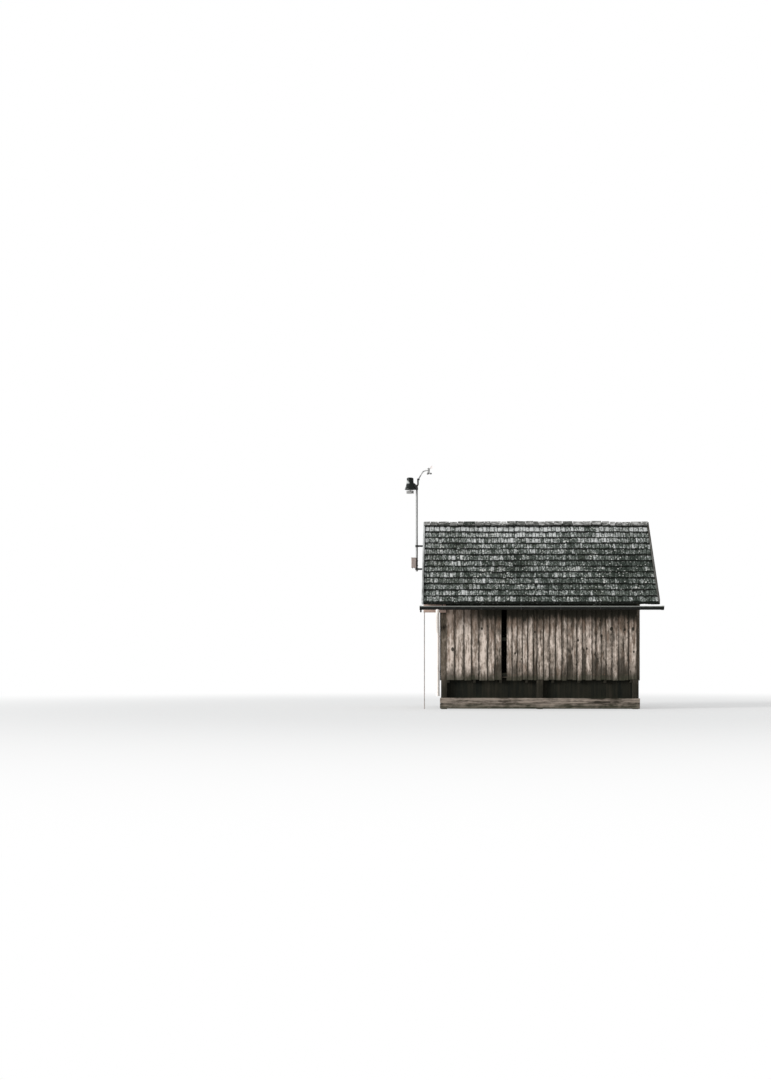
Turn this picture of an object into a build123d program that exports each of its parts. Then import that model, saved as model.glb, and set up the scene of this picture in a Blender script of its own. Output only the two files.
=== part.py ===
"""Timber hut on posts: board walls, steep shingled gable roof, half-round
gutter with a downpipe, and a mast with wind instruments beside one gable.

Frame: millimetres, +Z up, the long front wall faces -Y and the ridge runs
along X. The origin is the foot of the centre pile, in the middle of the
posts. Each sub-part is one node, written to parts/NODE.step.
"""
from build123d import *
from math import cos, radians, sin, tan
import os

# Walls
wall_length = 4570.0
wall_depth = 3000.0
board_thickness = 24.0
board_bottom = 667.0
board_top_gap = 12.0
left_corner_bare = 138.0
right_corner_bare = 65.0
missing_board_width = 101.0
missing_board_from_left = 1281.0

# Posts, plates and rails
post_size = 140.0
ridge_post_width = 100.0
plate_height = 140.0
rail_depth = 60.0
rail_height = 80.0
middle_rail_bottom = 1560.0
upper_rail_gap = 630.0

# Floor
bearer_bottom = 440.0
bearer_height = 160.0
bearer_width = 80.0
joist_count = 8
joist_width = 60.0
joist_height = 120.0
floor_thickness = 28.0
floor_notch_clearance = 2.0

# Skirt of upright boards under the walls, set back between the posts
skirt_bottom = 40.0
skirt_clearance = 2.0

# Low planks that tie the posts near the ground
tie_plank_height = 130.0
tie_plank_gap = 7.0
tie_plank_thickness = 36.0

# Roof
roof_pitch = 47.5
eave_height = 2406.0
eave_overhang = 350.0
gable_overhang = 415.0
shingle_depth = 45.0
shingle_step = 18.0
course_count = 13
deck_thickness = 22.0
rafter_depth = 100.0
rafter_width = 60.0
bay_count = 5
rafter_seat = 55.0
deck_edge_inset = 65.0
tail_soffit_drop = 21.0
ridge_beam_width = 60.0
ridge_beam_height = 180.0
ridge_beam_drop = 4.0
ridge_cap_leg = 150.0
ridge_cap_thickness = 20.0
barge_thickness = 40.0
barge_depth = 170.0
barge_rise = 15.0
wall_to_deck_gap = 2.0
notch_clearance = 2.0

# Gutter, half-round with a rolled front bead
gutter_radius = 76.0
gutter_sheet = 2.5
gutter_bead_radius = 9.0
gutter_rim_drop = 77.0
gutter_left_reach = 40.0
gutter_right_reach = 72.0
gutter_strap = 4.0
gutter_strap_width = 25.0
strap_clearance = 2.0
stop_end_sheet = 5.0
stop_end_length = 55.0
stop_end_rise = 14.0
spout_radius = 18.0
spout_drop = 55.0

# Downpipe
pipe_radius = 40.0
pipe_wall = 2.5
pipe_wall_gap = 10.0
pipe_bottom = 300.0
pipe_outlet_drop = 90.0
pipe_neck_drop = 400.0
pipe_bend_radius = 120.0
collar_thickness = 4.0
collar_height = 36.0
clip_thickness = 3.0
clip_height = 28.0
clip_stem_radius = 6.0
clip_plate = 5.0
clip_plate_size = 50.0
upper_clip_height = 1664.0
lower_clip_height = 850.0

# Outrigger plank and rod at the front left corner
outrigger_reach = 375.0
outrigger_height = 180.0
outrigger_depth = 60.0
outrigger_drop = 97.0
rod_radius = 10.0
rod_inset = 20.0

# Mast beside the left gable
mast_radius = 24.15
mast_wall = 3.2
mast_from_wall = 572.0
mast_rise = 853.0
mast_foot_drop = 55.0
lower_arm_drop = 1108.0
upper_arm_drop = 556.0
arm_size = 40.0
arm_wall = 3.0
arm_plate = 6.0
arm_plate_width = 90.0
arm_plate_height = 120.0
clamp_size = 74.0
clamp_height = 44.0
sleeve_clearance = 0.3

# Instrument box on the mast
box_width = 116.0
box_depth = 120.0
box_height = 228.0
box_foot_rise = 84.0
box_offset = 69.5
box_mast_gap = 6.0
box_corner = 10.0
box_lid = 8.0
box_lid_reach = 7.0
box_strap_height = 22.0
gland_radius = 12.0
gland_length = 20.0

# Sensor hood and shield plates
hood_offset = 160.0
hood_radius = 130.0
hood_neck_radius = 82.0
hood_drop = 56.0
hood_height = 284.0
hood_rim = 18.0
hood_flare_top = 0.8
shield_radius = 96.0
shield_plate = 8.0
shield_count = 3
shield_pitch = 22.0
shield_drop = 88.0
shield_stem_radius = 18.0
sensor_arm_height = 60.0
gusset_foot = 52.0
gusset_rise = 132.0
gusset_thickness = 12.0

# Boom that carries the wind instruments
horn_radius = 21.0
horn_offset = 27.0
horn_rise = 172.0
horn_block_height = 36.0
horn_block_depth = 40.0
boom_radius = 14.0
boom_slope = 60.0
boom_rise = 194.0
boom_bend_radius = 124.0
wind_axis_offset = 286.0
head_radius = 24.0
head_height = 90.0
spindle_radius = 4.0
spindle_clearance = 0.3
nut_radius = 8.0
nut_height = 5.0
bearing_gap = 0.5

# Cup rotor and vane
cup_count = 3
cup_radius = 22.0
cup_wall = 1.5
cup_arm_length = 52.0
cup_arm_radius = 5.0
cup_hub_radius = 16.0
cup_hub_height = 34.0
vane_hub_radius = 16.0
vane_hub_height = 24.0
vane_rod_radius = 4.0
vane_nose_length = 34.0
vane_nose_radius = 6.0
fin_start = 30.0
fin_length = 58.0
fin_height = 63.0
fin_thickness = 3.0

# Derived places
half_length = wall_length / 2
half_depth = wall_depth / 2
post_x = half_length - board_thickness
post_y = half_depth - board_thickness
pitch = radians(roof_pitch)
eave_run = half_depth + eave_overhang
tail_run = eave_run - deck_edge_inset
tail_soffit = eave_height - tail_soffit_drop
apex_height = eave_height + eave_run * tan(pitch)
slope_length = eave_run / cos(pitch)
deck_depth = shingle_depth
rafter_top_depth = shingle_depth + deck_thickness
rafter_bottom_depth = rafter_top_depth + rafter_depth
roof_half = half_length + gable_overhang
joist_bottom = bearer_bottom + bearer_height
floor_bottom = joist_bottom + joist_height
floor_top = floor_bottom + floor_thickness


def slope_height(run, depth):
    """Height of the line `depth` below the roof surface, `run` from the ridge."""
    return apex_height - run * tan(pitch) - depth / cos(pitch)


def slope_run(height, depth):
    """How far from the ridge that line comes down to `height`."""
    return (slope_height(0, depth) - height) / tan(pitch)


plate_top = slope_height(post_y - rafter_seat, rafter_bottom_depth)
plate_bottom = plate_top - plate_height
board_top = slope_height(half_depth, rafter_bottom_depth) - board_top_gap
ridge_beam_top = slope_height(ridge_beam_width / 2, rafter_top_depth) - ridge_beam_drop
ridge_beam_bottom = ridge_beam_top - ridge_beam_height
upper_rail_bottom = ridge_beam_bottom - upper_rail_gap - rail_height
outrigger_top = plate_bottom - outrigger_drop
outrigger_bottom = outrigger_top - outrigger_height
gutter_run = tail_run + gutter_strap + gutter_radius
gutter_rim_height = eave_height - gutter_rim_drop
arm_heights = (apex_height - lower_arm_drop, apex_height - upper_arm_drop)
mast_x = -half_length - mast_from_wall
mast_bottom = arm_heights[0] - mast_foot_drop
mast_top = apex_height + mast_rise
box_bottom = mast_bottom + box_foot_rise
box_top = box_bottom + box_height
hood_x = mast_x - hood_offset
hood_bottom = mast_top - hood_drop
hood_top = hood_bottom + hood_height
shield_bottom = hood_bottom - shield_drop
horn_x = mast_x + horn_offset
horn_top = mast_top + horn_rise
block_top = horn_top + horn_block_height
boom_height = block_top + boom_rise
wind_x = mast_x + wind_axis_offset
head_bottom = boom_height - 0.6 * head_height
head_top = head_bottom + head_height
pipe_x = -half_length - pipe_wall_gap - pipe_radius
pipe_y = post_y - post_size / 2


def block(x, y, z):
    """Box from three (low, high) pairs."""
    size = [high - low for low, high in (x, y, z)]
    middle = [(high + low) / 2 for low, high in (x, y, z)]
    return Pos(*middle) * Box(*size)


def along_x(outline, x):
    """Closed (y, z) outline run from x[0] to x[1]."""
    face = make_face(Plane.YZ.offset(x[0]) * Polyline(*outline, close=True))
    return extrude(face, amount=x[1] - x[0], dir=(1, 0, 0))


def rod(start, end, radius):
    """Round bar between two points."""
    path = Line(start, end)
    return sweep(Plane(origin=start, z_dir=path % 0) * Circle(radius), path=path)


def upright(x, y, z, radius):
    """Vertical round bar at (x, y) between two heights."""
    return Pos(x, y, (z[0] + z[1]) / 2) * Cylinder(radius, z[1] - z[0])


def mirrored_y(shape):
    """The same piece on the other long side."""
    return mirror(shape, about=Plane.XZ)


def slope_point(distance, depth):
    """(y, z) on the front slope: `distance` down from the ridge, `depth` inward."""
    run = distance * cos(pitch) - depth * sin(pitch)
    height = apex_height - distance * sin(pitch) - depth * cos(pitch)
    return (-run, height)


def group(pieces):
    """Separate solids kept together as one sub-part."""
    return Compound(children=[piece.solid() for piece in pieces])


def both_sides(pieces):
    """The pieces of the front with their mirror images at the back."""
    return group(pieces + [mirrored_y(piece) for piece in pieces])


# Posts and frame

def square_post(x, y, top, width_y=post_size):
    half_x = post_size / 2
    half_y = width_y / 2
    return block((x - half_x, x + half_x), (y - half_y, y + half_y), (0, top))


def corner_posts():
    x = post_x - post_size / 2
    y = post_y - post_size / 2
    return group([square_post(sx * x, sy * y, plate_bottom) for sx in (-1, 1) for sy in (-1, 1)])


def middle_posts():
    y = post_y - post_size / 2
    return group([square_post(0, side * y, plate_bottom) for side in (-1, 1)])


def ridge_posts():
    x = post_x - post_size / 2
    return group([square_post(side * x, 0, ridge_beam_bottom, ridge_post_width) for side in (-1, 1)])


def centre_pile():
    return square_post(0, 0, bearer_bottom)


def wall_plates():
    """Beams on the posts, long enough to carry the verge rafters."""
    front = block(roof_span(), (-post_y, -post_y + post_size), (plate_bottom, plate_top))
    return both_sides([front])


def ridge_beam():
    half_width = ridge_beam_width / 2
    return block(roof_span(), (-half_width, half_width), (ridge_beam_bottom, ridge_beam_top))


def wall_rails():
    """Rails that the boards are nailed to, on the long sides and the gables."""
    return both_sides(front_rails() + front_gable_rails())


def front_rails():
    inner = post_x - post_size
    middle = post_size / 2
    y = (-post_y, -post_y + rail_depth)
    rails = []
    for bottom in (floor_top, middle_rail_bottom):
        for x in ((-inner, -middle), (middle, inner)):
            rails.append(block(x, y, (bottom, bottom + rail_height)))
    return rails


def front_gable_rails():
    """Rails from each ridge post to a corner post and, higher up, to the rafters."""
    post_face = ridge_post_width / 2
    upper_end = slope_run(upper_rail_bottom + rail_height, rafter_bottom_depth)
    corner_face = post_y - post_size
    rails = []
    for bottom, end in (
        (floor_top, corner_face),
        (middle_rail_bottom, corner_face),
        (plate_bottom, corner_face),
        (upper_rail_bottom, upper_end),
    ):
        for gable in (-1, 1):
            x = sorted((gable * (post_x - rail_depth), gable * post_x))
            rails.append(block(x, (-end, -post_face), (bottom, bottom + rail_height)))
    return rails


# Floor

def floor_bearers():
    z = (bearer_bottom, bearer_bottom + bearer_height)
    inner = post_y - post_size
    front = block((-post_x, post_x), (-inner, -inner + bearer_width), z)
    between_posts = post_x - post_size
    centre = block((-between_posts, between_posts), (-bearer_width / 2, bearer_width / 2), z)
    return group([front, centre, mirrored_y(front)])


def joist_places():
    outermost = post_x - post_size - joist_width / 2
    spacing = 2 * outermost / (joist_count - 1)
    return [-outermost + number * spacing for number in range(joist_count)]


def joist_block(x, clearance=0.0):
    """A joist, or the space to leave for it."""
    half = joist_width / 2 + clearance
    return block((x - half, x + half), (-post_y, post_y), (joist_bottom - clearance, floor_bottom))


def floor_joists():
    return group([joist_block(x) for x in joist_places()])


def floor():
    """Boarded floor with notches round the posts that pass it."""
    slab = block((-post_x, post_x), (-post_y, post_y), (floor_bottom, floor_top))
    notch = post_size + floor_notch_clearance
    edge = board_thickness
    z = (floor_bottom - edge, floor_top + edge)
    for x in ((-post_x - edge, -post_x + notch), (-notch + post_size / 2, notch - post_size / 2),
              (post_x - notch, post_x + edge)):
        for side in (-1, 1):
            y = sorted((side * (post_y - notch), side * (post_y + edge)))
            slab -= block(x, y, z)
    ridge_notch = ridge_post_width / 2 + floor_notch_clearance
    for side in (-1, 1):
        x = sorted((side * (post_x - notch), side * (post_x + edge)))
        slab -= block(x, (-ridge_notch, ridge_notch), z)
    return slab


def skirt_boards():
    """Boards on the outer bearers and the end joists that close the space under the floor."""
    return both_sides(front_skirt() + front_gable_skirt())


def front_skirt():
    """One stretch each side of the middle post, notched for the joists."""
    inner = post_y - post_size
    y = (-inner - board_thickness, -inner)
    z = (skirt_bottom, floor_bottom - skirt_clearance)
    near = post_size / 2 + skirt_clearance
    far = post_x - post_size - skirt_clearance
    notches = [joist_block(x, skirt_clearance) for x in joist_places()]
    return [block(x, y, z) - notches for x in ((-far, -near), (near, far))]


def front_gable_skirt():
    """On the end joists, from the ridge post to the bearer."""
    bearer_face = post_y - post_size - bearer_width
    y = (skirt_clearance - bearer_face, -ridge_post_width / 2 - skirt_clearance)
    z = (skirt_bottom, floor_bottom - skirt_clearance)
    joist_face = post_x - post_size
    return [
        block((-joist_face - board_thickness, -joist_face), y, z),
        block((joist_face, joist_face + board_thickness), y, z),
    ]


def tie_planks():
    y = (-post_y - tie_plank_thickness, -post_y)
    planks = []
    for number in range(2):
        bottom = number * (tie_plank_height + tie_plank_gap)
        planks.append(block((-half_length, half_length), y, (bottom, bottom + tie_plank_height)))
    return both_sides(planks)


# Walls

def front_boards(x):
    return block(x, (-half_depth, -post_y), (board_bottom, board_top))


gap_left = -half_length + left_corner_bare + missing_board_from_left
gap_right = gap_left + missing_board_width


def front_wall_left():
    return front_boards((-half_length + left_corner_bare, gap_left))


def front_wall_right():
    return front_boards((gap_right, half_length - right_corner_bare))


def back_wall():
    reach = post_x + board_thickness
    return block((-reach, reach), (post_y, half_depth), (board_bottom, board_top))


def gable_wall():
    """Right gable: boards up to the roof deck, notched for the plates and ridge beam."""
    shoulder = slope_height(post_y, rafter_top_depth + wall_to_deck_gap)
    peak = slope_height(0, rafter_top_depth + wall_to_deck_gap)
    outline = [
        (-post_y, board_bottom),
        (post_y, board_bottom),
        (post_y, shoulder),
        (0, peak),
        (-post_y, shoulder),
    ]
    wall = along_x(outline, (post_x, half_length))
    x = (post_x - board_thickness, half_length + board_thickness)
    inner = post_y - post_size - notch_clearance
    z = (plate_bottom - notch_clearance, plate_top + notch_clearance)
    for side in (-1, 1):
        wall -= block(x, sorted((side * inner, side * (post_y + board_thickness))), z)
    half_width = ridge_beam_width / 2 + notch_clearance
    wall -= block(x, (-half_width, half_width), (ridge_beam_bottom - notch_clearance, apex_height))
    return wall


# Roof

def front_rafters():
    """Rafters with a plumb cut at the ridge, a seat on the plate and level-cut tails."""
    beam_face = ridge_beam_width / 2
    outline = [
        (-beam_face, slope_height(beam_face, rafter_top_depth)),
        (-slope_run(tail_soffit, rafter_top_depth), tail_soffit),
        (-slope_run(tail_soffit, rafter_bottom_depth), tail_soffit),
        (-post_y, slope_height(post_y, rafter_bottom_depth)),
        (-post_y, plate_top),
        (-post_y + rafter_seat, plate_top),
        (-beam_face, slope_height(beam_face, rafter_bottom_depth)),
    ]
    return group([along_x(outline, (x - rafter_width / 2, x + rafter_width / 2)) for x in rafter_places()])


def rafter_places():
    """One rafter at each verge, one at each gable wall and the rest between them."""
    gable = post_x - rafter_width / 2
    verge = roof_half - barge_thickness - rafter_width / 2
    inner = [-gable + number * 2 * gable / bay_count for number in range(bay_count + 1)]
    return [-verge] + inner + [verge]


def roof_span():
    reach = roof_half - barge_thickness
    return (-reach, reach)


def front_roof_deck():
    outline = [
        (0, slope_height(0, deck_depth)),
        (-tail_run, slope_height(tail_run, deck_depth)),
        (-tail_run, slope_height(tail_run, rafter_top_depth)),
        (0, slope_height(0, rafter_top_depth)),
    ]
    return along_x(outline, roof_span())


def front_shingles():
    """Stepped skin of overlapping courses: each butt stands one step proud."""
    exposure = (slope_length - ridge_cap_leg) / course_count
    outline = [(0, apex_height), slope_point(ridge_cap_leg, 0)]
    for number in range(course_count):
        start = ridge_cap_leg + number * exposure
        outline.append(slope_point(start, shingle_step))
        outline.append(slope_point(start + exposure, 0))
    outline.append(slope_point(slope_length, shingle_depth))
    outline.append((0, slope_height(0, shingle_depth)))
    return along_x(outline, roof_span())


def ridge_cap():
    """Two capping boards that meet over the ridge."""
    top = ridge_cap_thickness
    left = [slope_point(ridge_cap_leg, 0), slope_point(ridge_cap_leg, -top)]
    right = [(-y, z) for y, z in reversed(left)]
    outline = [(0, apex_height)] + left + [(0, slope_height(0, -top))] + right
    return along_x(outline, roof_span())


def barge_boards(side):
    """Pair of boards that close one verge and stand a little above the shingles."""
    low = barge_depth - barge_rise
    outline = [
        (0, slope_height(0, -barge_rise)),
        (-tail_run, slope_height(tail_run, -barge_rise)),
        (-tail_run, tail_soffit),
        (-slope_run(tail_soffit, low), tail_soffit),
        (0, slope_height(0, low)),
    ]
    front = along_x(outline, sorted((side * roof_half, side * (roof_half - barge_thickness))))
    return both_sides([front])


# Gutter and downpipe

def lower_half(outline, reach, rise=0):
    """What lies under the gutter's rim, or under a line `rise` above it."""
    return outline - Pos(0, reach + rise) * Rectangle(4 * reach, 2 * reach)


def gutter_bead():
    """Roll along the front rim."""
    return Pos(gutter_sheet - gutter_radius - gutter_bead_radius, 0) * Circle(gutter_bead_radius)


def gutter_plane(x):
    return Plane(origin=(x, -gutter_run, gutter_rim_height), x_dir=(0, 1, 0), z_dir=(1, 0, 0))


def front_gutter():
    """Half-round channel with stop ends, a front bead, a drip spout and an outlet."""
    left = -roof_half - gutter_left_reach
    right = roof_half + gutter_right_reach
    inner = gutter_radius - gutter_sheet
    trough = lower_half(Circle(gutter_radius) - Circle(inner), gutter_radius)
    channel = extrude(gutter_plane(left) * (trough + gutter_bead()), amount=right - left)
    channel += stop_end(left, left) + stop_end(right - stop_end_length, right - stop_end_sheet)
    spout_x = left + stop_end_length / 2
    spout_top = gutter_rim_height - inner
    spout_bottom = gutter_rim_height - gutter_radius - spout_drop
    channel += upright(spout_x, -gutter_run, (spout_bottom, spout_top), spout_radius)
    bore_top = gutter_rim_height - gutter_radius / 2
    channel -= upright(spout_x, -gutter_run, (spout_bottom - spout_radius, bore_top),
                       spout_radius - gutter_sheet)
    hole = upright(pipe_x, -gutter_run, (gutter_rim_height - 2 * gutter_radius, gutter_rim_height),
                   pipe_radius - pipe_wall)
    return channel - hole


def stop_end(sleeve_start, disc_start):
    """Cap pushed over the gutter's end: a sleeve and a closing disc, both a little over the rim."""
    outer = gutter_radius + stop_end_sheet
    sleeve = lower_half(Circle(outer) - Circle(gutter_radius - gutter_sheet), outer, stop_end_rise)
    disc = lower_half(Circle(outer), outer, stop_end_rise)
    cap = extrude(gutter_plane(sleeve_start) * sleeve, amount=stop_end_length)
    return cap + extrude(gutter_plane(disc_start) * disc, amount=stop_end_sheet)


def gutter_straps():
    """Bands under the gutter, each with a leg up the deck's edge beside a rafter."""
    outer = gutter_radius + gutter_strap
    band = lower_half(Circle(outer) - Circle(gutter_radius), outer) - gutter_bead()
    shingle_underside = slope_height(tail_run + gutter_strap, shingle_depth)
    leg_top = shingle_underside - strap_clearance - gutter_rim_height
    leg_height = leg_top + gutter_radius / 3
    leg_middle = (gutter_radius + gutter_strap / 2, leg_top - leg_height / 2)
    profile = band + Pos(*leg_middle) * Rectangle(gutter_strap, leg_height)
    straps = []
    for x in rafter_places()[1:-1]:
        straps.append(extrude(gutter_plane(x - gutter_strap_width / 2) * profile, amount=gutter_strap_width))
    return group(straps)


def downpipe_path():
    """Down from the gutter, back to the corner in a swan neck, and on down."""
    top = gutter_rim_height - gutter_radius / 2
    neck_top = gutter_rim_height - gutter_radius - pipe_outlet_drop
    neck_bottom = neck_top - pipe_neck_drop
    return FilletPolyline(
        (pipe_x, -gutter_run, top),
        (pipe_x, -gutter_run, neck_top),
        (pipe_x, -pipe_y, neck_bottom),
        (pipe_x, -pipe_y, pipe_bottom),
        radius=pipe_bend_radius,
    )


def front_downpipe():
    """Thin-walled pipe that meets the gutter's underside, with a collar under it."""
    path = downpipe_path()
    start = Plane(origin=path @ 0, z_dir=path % 0)
    collar_top = gutter_rim_height - gutter_radius
    collar = upright(pipe_x, -gutter_run, (collar_top - collar_height, collar_top),
                     pipe_radius + collar_thickness)
    pipe = sweep(start * Circle(pipe_radius), path=path) + collar
    pipe -= sweep(start * Circle(pipe_radius - pipe_wall), path=path)
    trough = Pos(pipe_x, -gutter_run, gutter_rim_height) * (
        Rot(0, 90, 0) * Cylinder(gutter_radius, 4 * pipe_radius))
    return pipe - trough


def pipe_clips():
    """Rings on stems, each screwed to the gable boards beside the corner."""
    clips = []
    for height in (upper_clip_height, lower_clip_height):
        low = height - clip_height / 2
        ring = upright(pipe_x, -pipe_y, (low, low + clip_height), pipe_radius + clip_thickness)
        ring -= upright(pipe_x, -pipe_y, (low - clip_height, low + 2 * clip_height), pipe_radius)
        half_plate = clip_plate_size / 2
        plate = block((-half_length - clip_plate, -half_length),
                      (-pipe_y - half_plate, -pipe_y + half_plate), (low, low + clip_height))
        stem = rod((pipe_x + pipe_radius + clip_thickness / 2, -pipe_y, height),
                   (-half_length, -pipe_y, height), clip_stem_radius)
        clips.append(ring + plate + stem)
    return group(clips)


# Outrigger and rod

def outrigger():
    """Short plank on edge across the corner post's face, reaching out under the eave."""
    left = -half_length - outrigger_reach
    right = -half_length + left_corner_bare
    return block((left, right), (-post_y - outrigger_depth, -post_y),
                 (outrigger_bottom, outrigger_top))


def outrigger_rod():
    x = -half_length - outrigger_reach + rod_inset
    y = -post_y - outrigger_depth / 2
    return upright(x, y, (0, outrigger_bottom), rod_radius)


# Mast

def mast():
    tube = upright(mast_x, 0, (mast_bottom, mast_top), mast_radius)
    bore = upright(mast_x, 0, (mast_bottom - mast_wall, mast_top - mast_wall), mast_radius - mast_wall)
    return tube - bore


def mast_sleeve(height, width):
    """Clamp block round the mast with a close bore."""
    half = width / 2
    z = (height - clamp_height / 2, height + clamp_height / 2)
    body = block((mast_x - half, mast_x + half), (-half, half), z)
    body = fillet(body.edges().filter_by(Axis.Z), half / 3)
    return body - upright(mast_x, 0, (z[0] - half, z[1] + half), mast_radius + sleeve_clearance)


def mast_arms():
    """Square tubes from the clamp blocks to plates on the gable boards."""
    arms = []
    half = arm_size / 2
    start = mast_x + clamp_size / 2
    for height in arm_heights:
        tube = block((start, -half_length - arm_plate), (-half, half), (height - half, height + half))
        bore = half - arm_wall
        tube -= block((start + arm_wall, -half_length - arm_plate), (-bore, bore),
                      (height - bore, height + bore))
        plate = block((-half_length - arm_plate, -half_length),
                      (-arm_plate_width / 2, arm_plate_width / 2),
                      (height - arm_plate_height / 2, height + arm_plate_height / 2))
        arms.append(tube + plate + mast_sleeve(height, clamp_size))
    return group(arms)


def instrument_box():
    """Lidded case in front of the mast, with two glands underneath."""
    x = mast_x - box_offset
    back = -mast_radius - box_mast_gap
    half = box_width / 2
    case = block((x - half, x + half), (back - box_depth, back), (box_bottom, box_top))
    case = fillet(case.edges().filter_by(Axis.Z), box_corner)
    lid = block((x - half - box_lid_reach, x + half + box_lid_reach),
                (back - box_depth - box_lid_reach, back), (box_top, box_top + box_lid))
    for side in (-1, 1):
        gland_y = back - box_depth / 2
        case += upright(x + side * half / 2, gland_y, (box_bottom - gland_length, box_bottom), gland_radius)
    return case + lid


def box_straps():
    """Two bands round the mast that hold the case."""
    straps = []
    outer = mast_radius + box_mast_gap
    quarter = (box_top - box_bottom) / 4
    for height in (box_bottom + quarter, box_top - quarter):
        z = (height - box_strap_height / 2, height + box_strap_height / 2)
        band = upright(mast_x, 0, z, outer)
        seat = block((mast_x - box_offset, mast_x + outer), (-outer, 0), z)
        straps.append(band + seat - upright(mast_x, 0, (z[0] - outer, z[1] + outer),
                                            mast_radius + sleeve_clearance))
    return group(straps)


# Sensor hood

def sensor_hood():
    """Flared hood, turned about its own upright axis."""
    flare_top = hood_bottom + hood_flare_top * (hood_top - hood_bottom)
    lip = hood_rim
    side = Spline(
        (hood_radius, 0, hood_bottom + lip),
        (hood_neck_radius, 0, flare_top),
        tangents=((-0.5, 0, 1), (0, 0, 1)),
    )
    outline = (
        Polyline((0, 0, hood_bottom), (hood_radius, 0, hood_bottom), (hood_radius, 0, hood_bottom + lip))
        + side
        + Polyline((hood_neck_radius, 0, flare_top), (hood_neck_radius, 0, hood_top - lip),
                   (hood_neck_radius - lip, 0, hood_top), (0, 0, hood_top), (0, 0, hood_bottom))
    )
    return Pos(hood_x, 0, 0) * revolve(make_face(outline), Axis.Z)


def shield_plates():
    """Stack of saucers under the hood on one stem."""
    stem = upright(hood_x, 0, (shield_bottom, hood_bottom), shield_stem_radius)
    for number in range(shield_count):
        low = shield_bottom + number * shield_pitch
        stem += Pos(hood_x, 0, low + shield_plate / 2) * Cone(
            shield_radius, shield_radius - shield_plate, shield_plate)
    return stem


def sensor_bracket():
    """Clamp at the mast's top with an arm to the hood and the boom's horn."""
    top = mast_top
    low = top - sensor_arm_height
    sleeve = upright(mast_x, 0, (low, top + mast_wall), mast_radius + 2 * mast_wall)
    sleeve -= upright(mast_x, 0, (low - mast_wall, top), mast_radius + sleeve_clearance)
    arm = block((hood_x + hood_radius - hood_rim, mast_x), (-arm_size / 2, arm_size / 2), (low, top))
    arm -= upright(mast_x, 0, (low - mast_wall, top), mast_radius + sleeve_clearance)
    return sleeve + arm + sensor_gusset() - sensor_hood() - boom_horn()


def sensor_gusset():
    """Upright plate over the arm, from the horn's foot up to the hood's neck."""
    front = -gusset_thickness / 2
    outline = Polyline(
        (hood_x, front, mast_top),
        (mast_x, front, mast_top),
        (mast_x, front, mast_top + gusset_foot),
        (hood_x, front, mast_top + gusset_foot + gusset_rise),
        close=True,
    )
    return extrude(make_face(outline), amount=gusset_thickness, dir=(0, 1, 0))


def boom_horn():
    """Thick bar that rises from the mast's cap to the boom's clamp block."""
    foot = mast_top + mast_wall
    path = FilletPolyline(
        (mast_x, 0, foot),
        (mast_x, 0, foot + horn_radius),
        (horn_x, 0, foot + 3 * horn_radius),
        (horn_x, 0, horn_top),
        radius=horn_radius,
    )
    bar = sweep(Plane(origin=path @ 0, z_dir=path % 0) * Circle(horn_radius), path=path)
    half = horn_block_depth / 2
    seat = block((horn_x - half, horn_x + horn_block_depth), (-half, half),
                 (horn_top, block_top))
    return bar + seat


def boom_start_x():
    """Where the boom's centre line leaves the top of its clamp block."""
    return horn_x + horn_block_depth / 2


def wind_boom():
    """Bent tube from the clamp block to the upright head and its spindle."""
    corner_x = boom_start_x() + boom_rise / tan(radians(boom_slope))
    under = 2 * boom_radius
    path = FilletPolyline(
        (boom_start_x() - under / tan(radians(boom_slope)), 0, block_top - under),
        (corner_x, 0, boom_height),
        (wind_x, 0, boom_height),
        radius=boom_bend_radius,
    )
    tube = sweep(Plane(origin=path @ 0, z_dir=path % 0) * Circle(boom_radius), path=path)
    tube -= block((horn_x - 4 * under, corner_x), (-under, under), (block_top - 4 * under, block_top))
    head = upright(wind_x, 0, (head_bottom, head_top), head_radius)
    return tube + head + wind_spindle()


def wind_spindle():
    """Shaft through the head, with a nut under the rotor and one over the vane."""
    low = head_bottom - cup_hub_height - 2 * bearing_gap
    high = head_top + vane_hub_height + 2 * bearing_gap
    shaft = upright(wind_x, 0, (low - nut_height, high + nut_height), spindle_radius)
    shaft += upright(wind_x, 0, (low - nut_height, low), nut_radius)
    return shaft + upright(wind_x, 0, (high, high + nut_height), nut_radius)


# Moving pieces

def wind_cups():
    """Hub with three arms, each with a hollow cup that opens the same way round."""
    top = head_bottom - bearing_gap
    hub = upright(wind_x, 0, (top - cup_hub_height, top), cup_hub_radius)
    middle = top - cup_hub_height / 2
    rotor = hub
    for number in range(cup_count):
        turn = Rot(0, 0, number * 360 / cup_count)
        cup = Sphere(cup_radius) - Sphere(cup_radius - cup_wall)
        cup -= Pos(0, -cup_radius, 0) * Box(4 * cup_radius, 2 * cup_radius, 4 * cup_radius)
        cup = Pos(cup_arm_length, 0, 0) * cup
        arm = rod((0, cup_wall, 0), (cup_arm_length - cup_radius + cup_wall, cup_wall, 0), cup_arm_radius)
        rotor += Pos(wind_x, 0, middle) * turn * (cup + arm)
    bore = upright(wind_x, 0, (top - 2 * cup_hub_height, top + cup_hub_height),
                   spindle_radius + spindle_clearance)
    return rotor - bore


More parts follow.
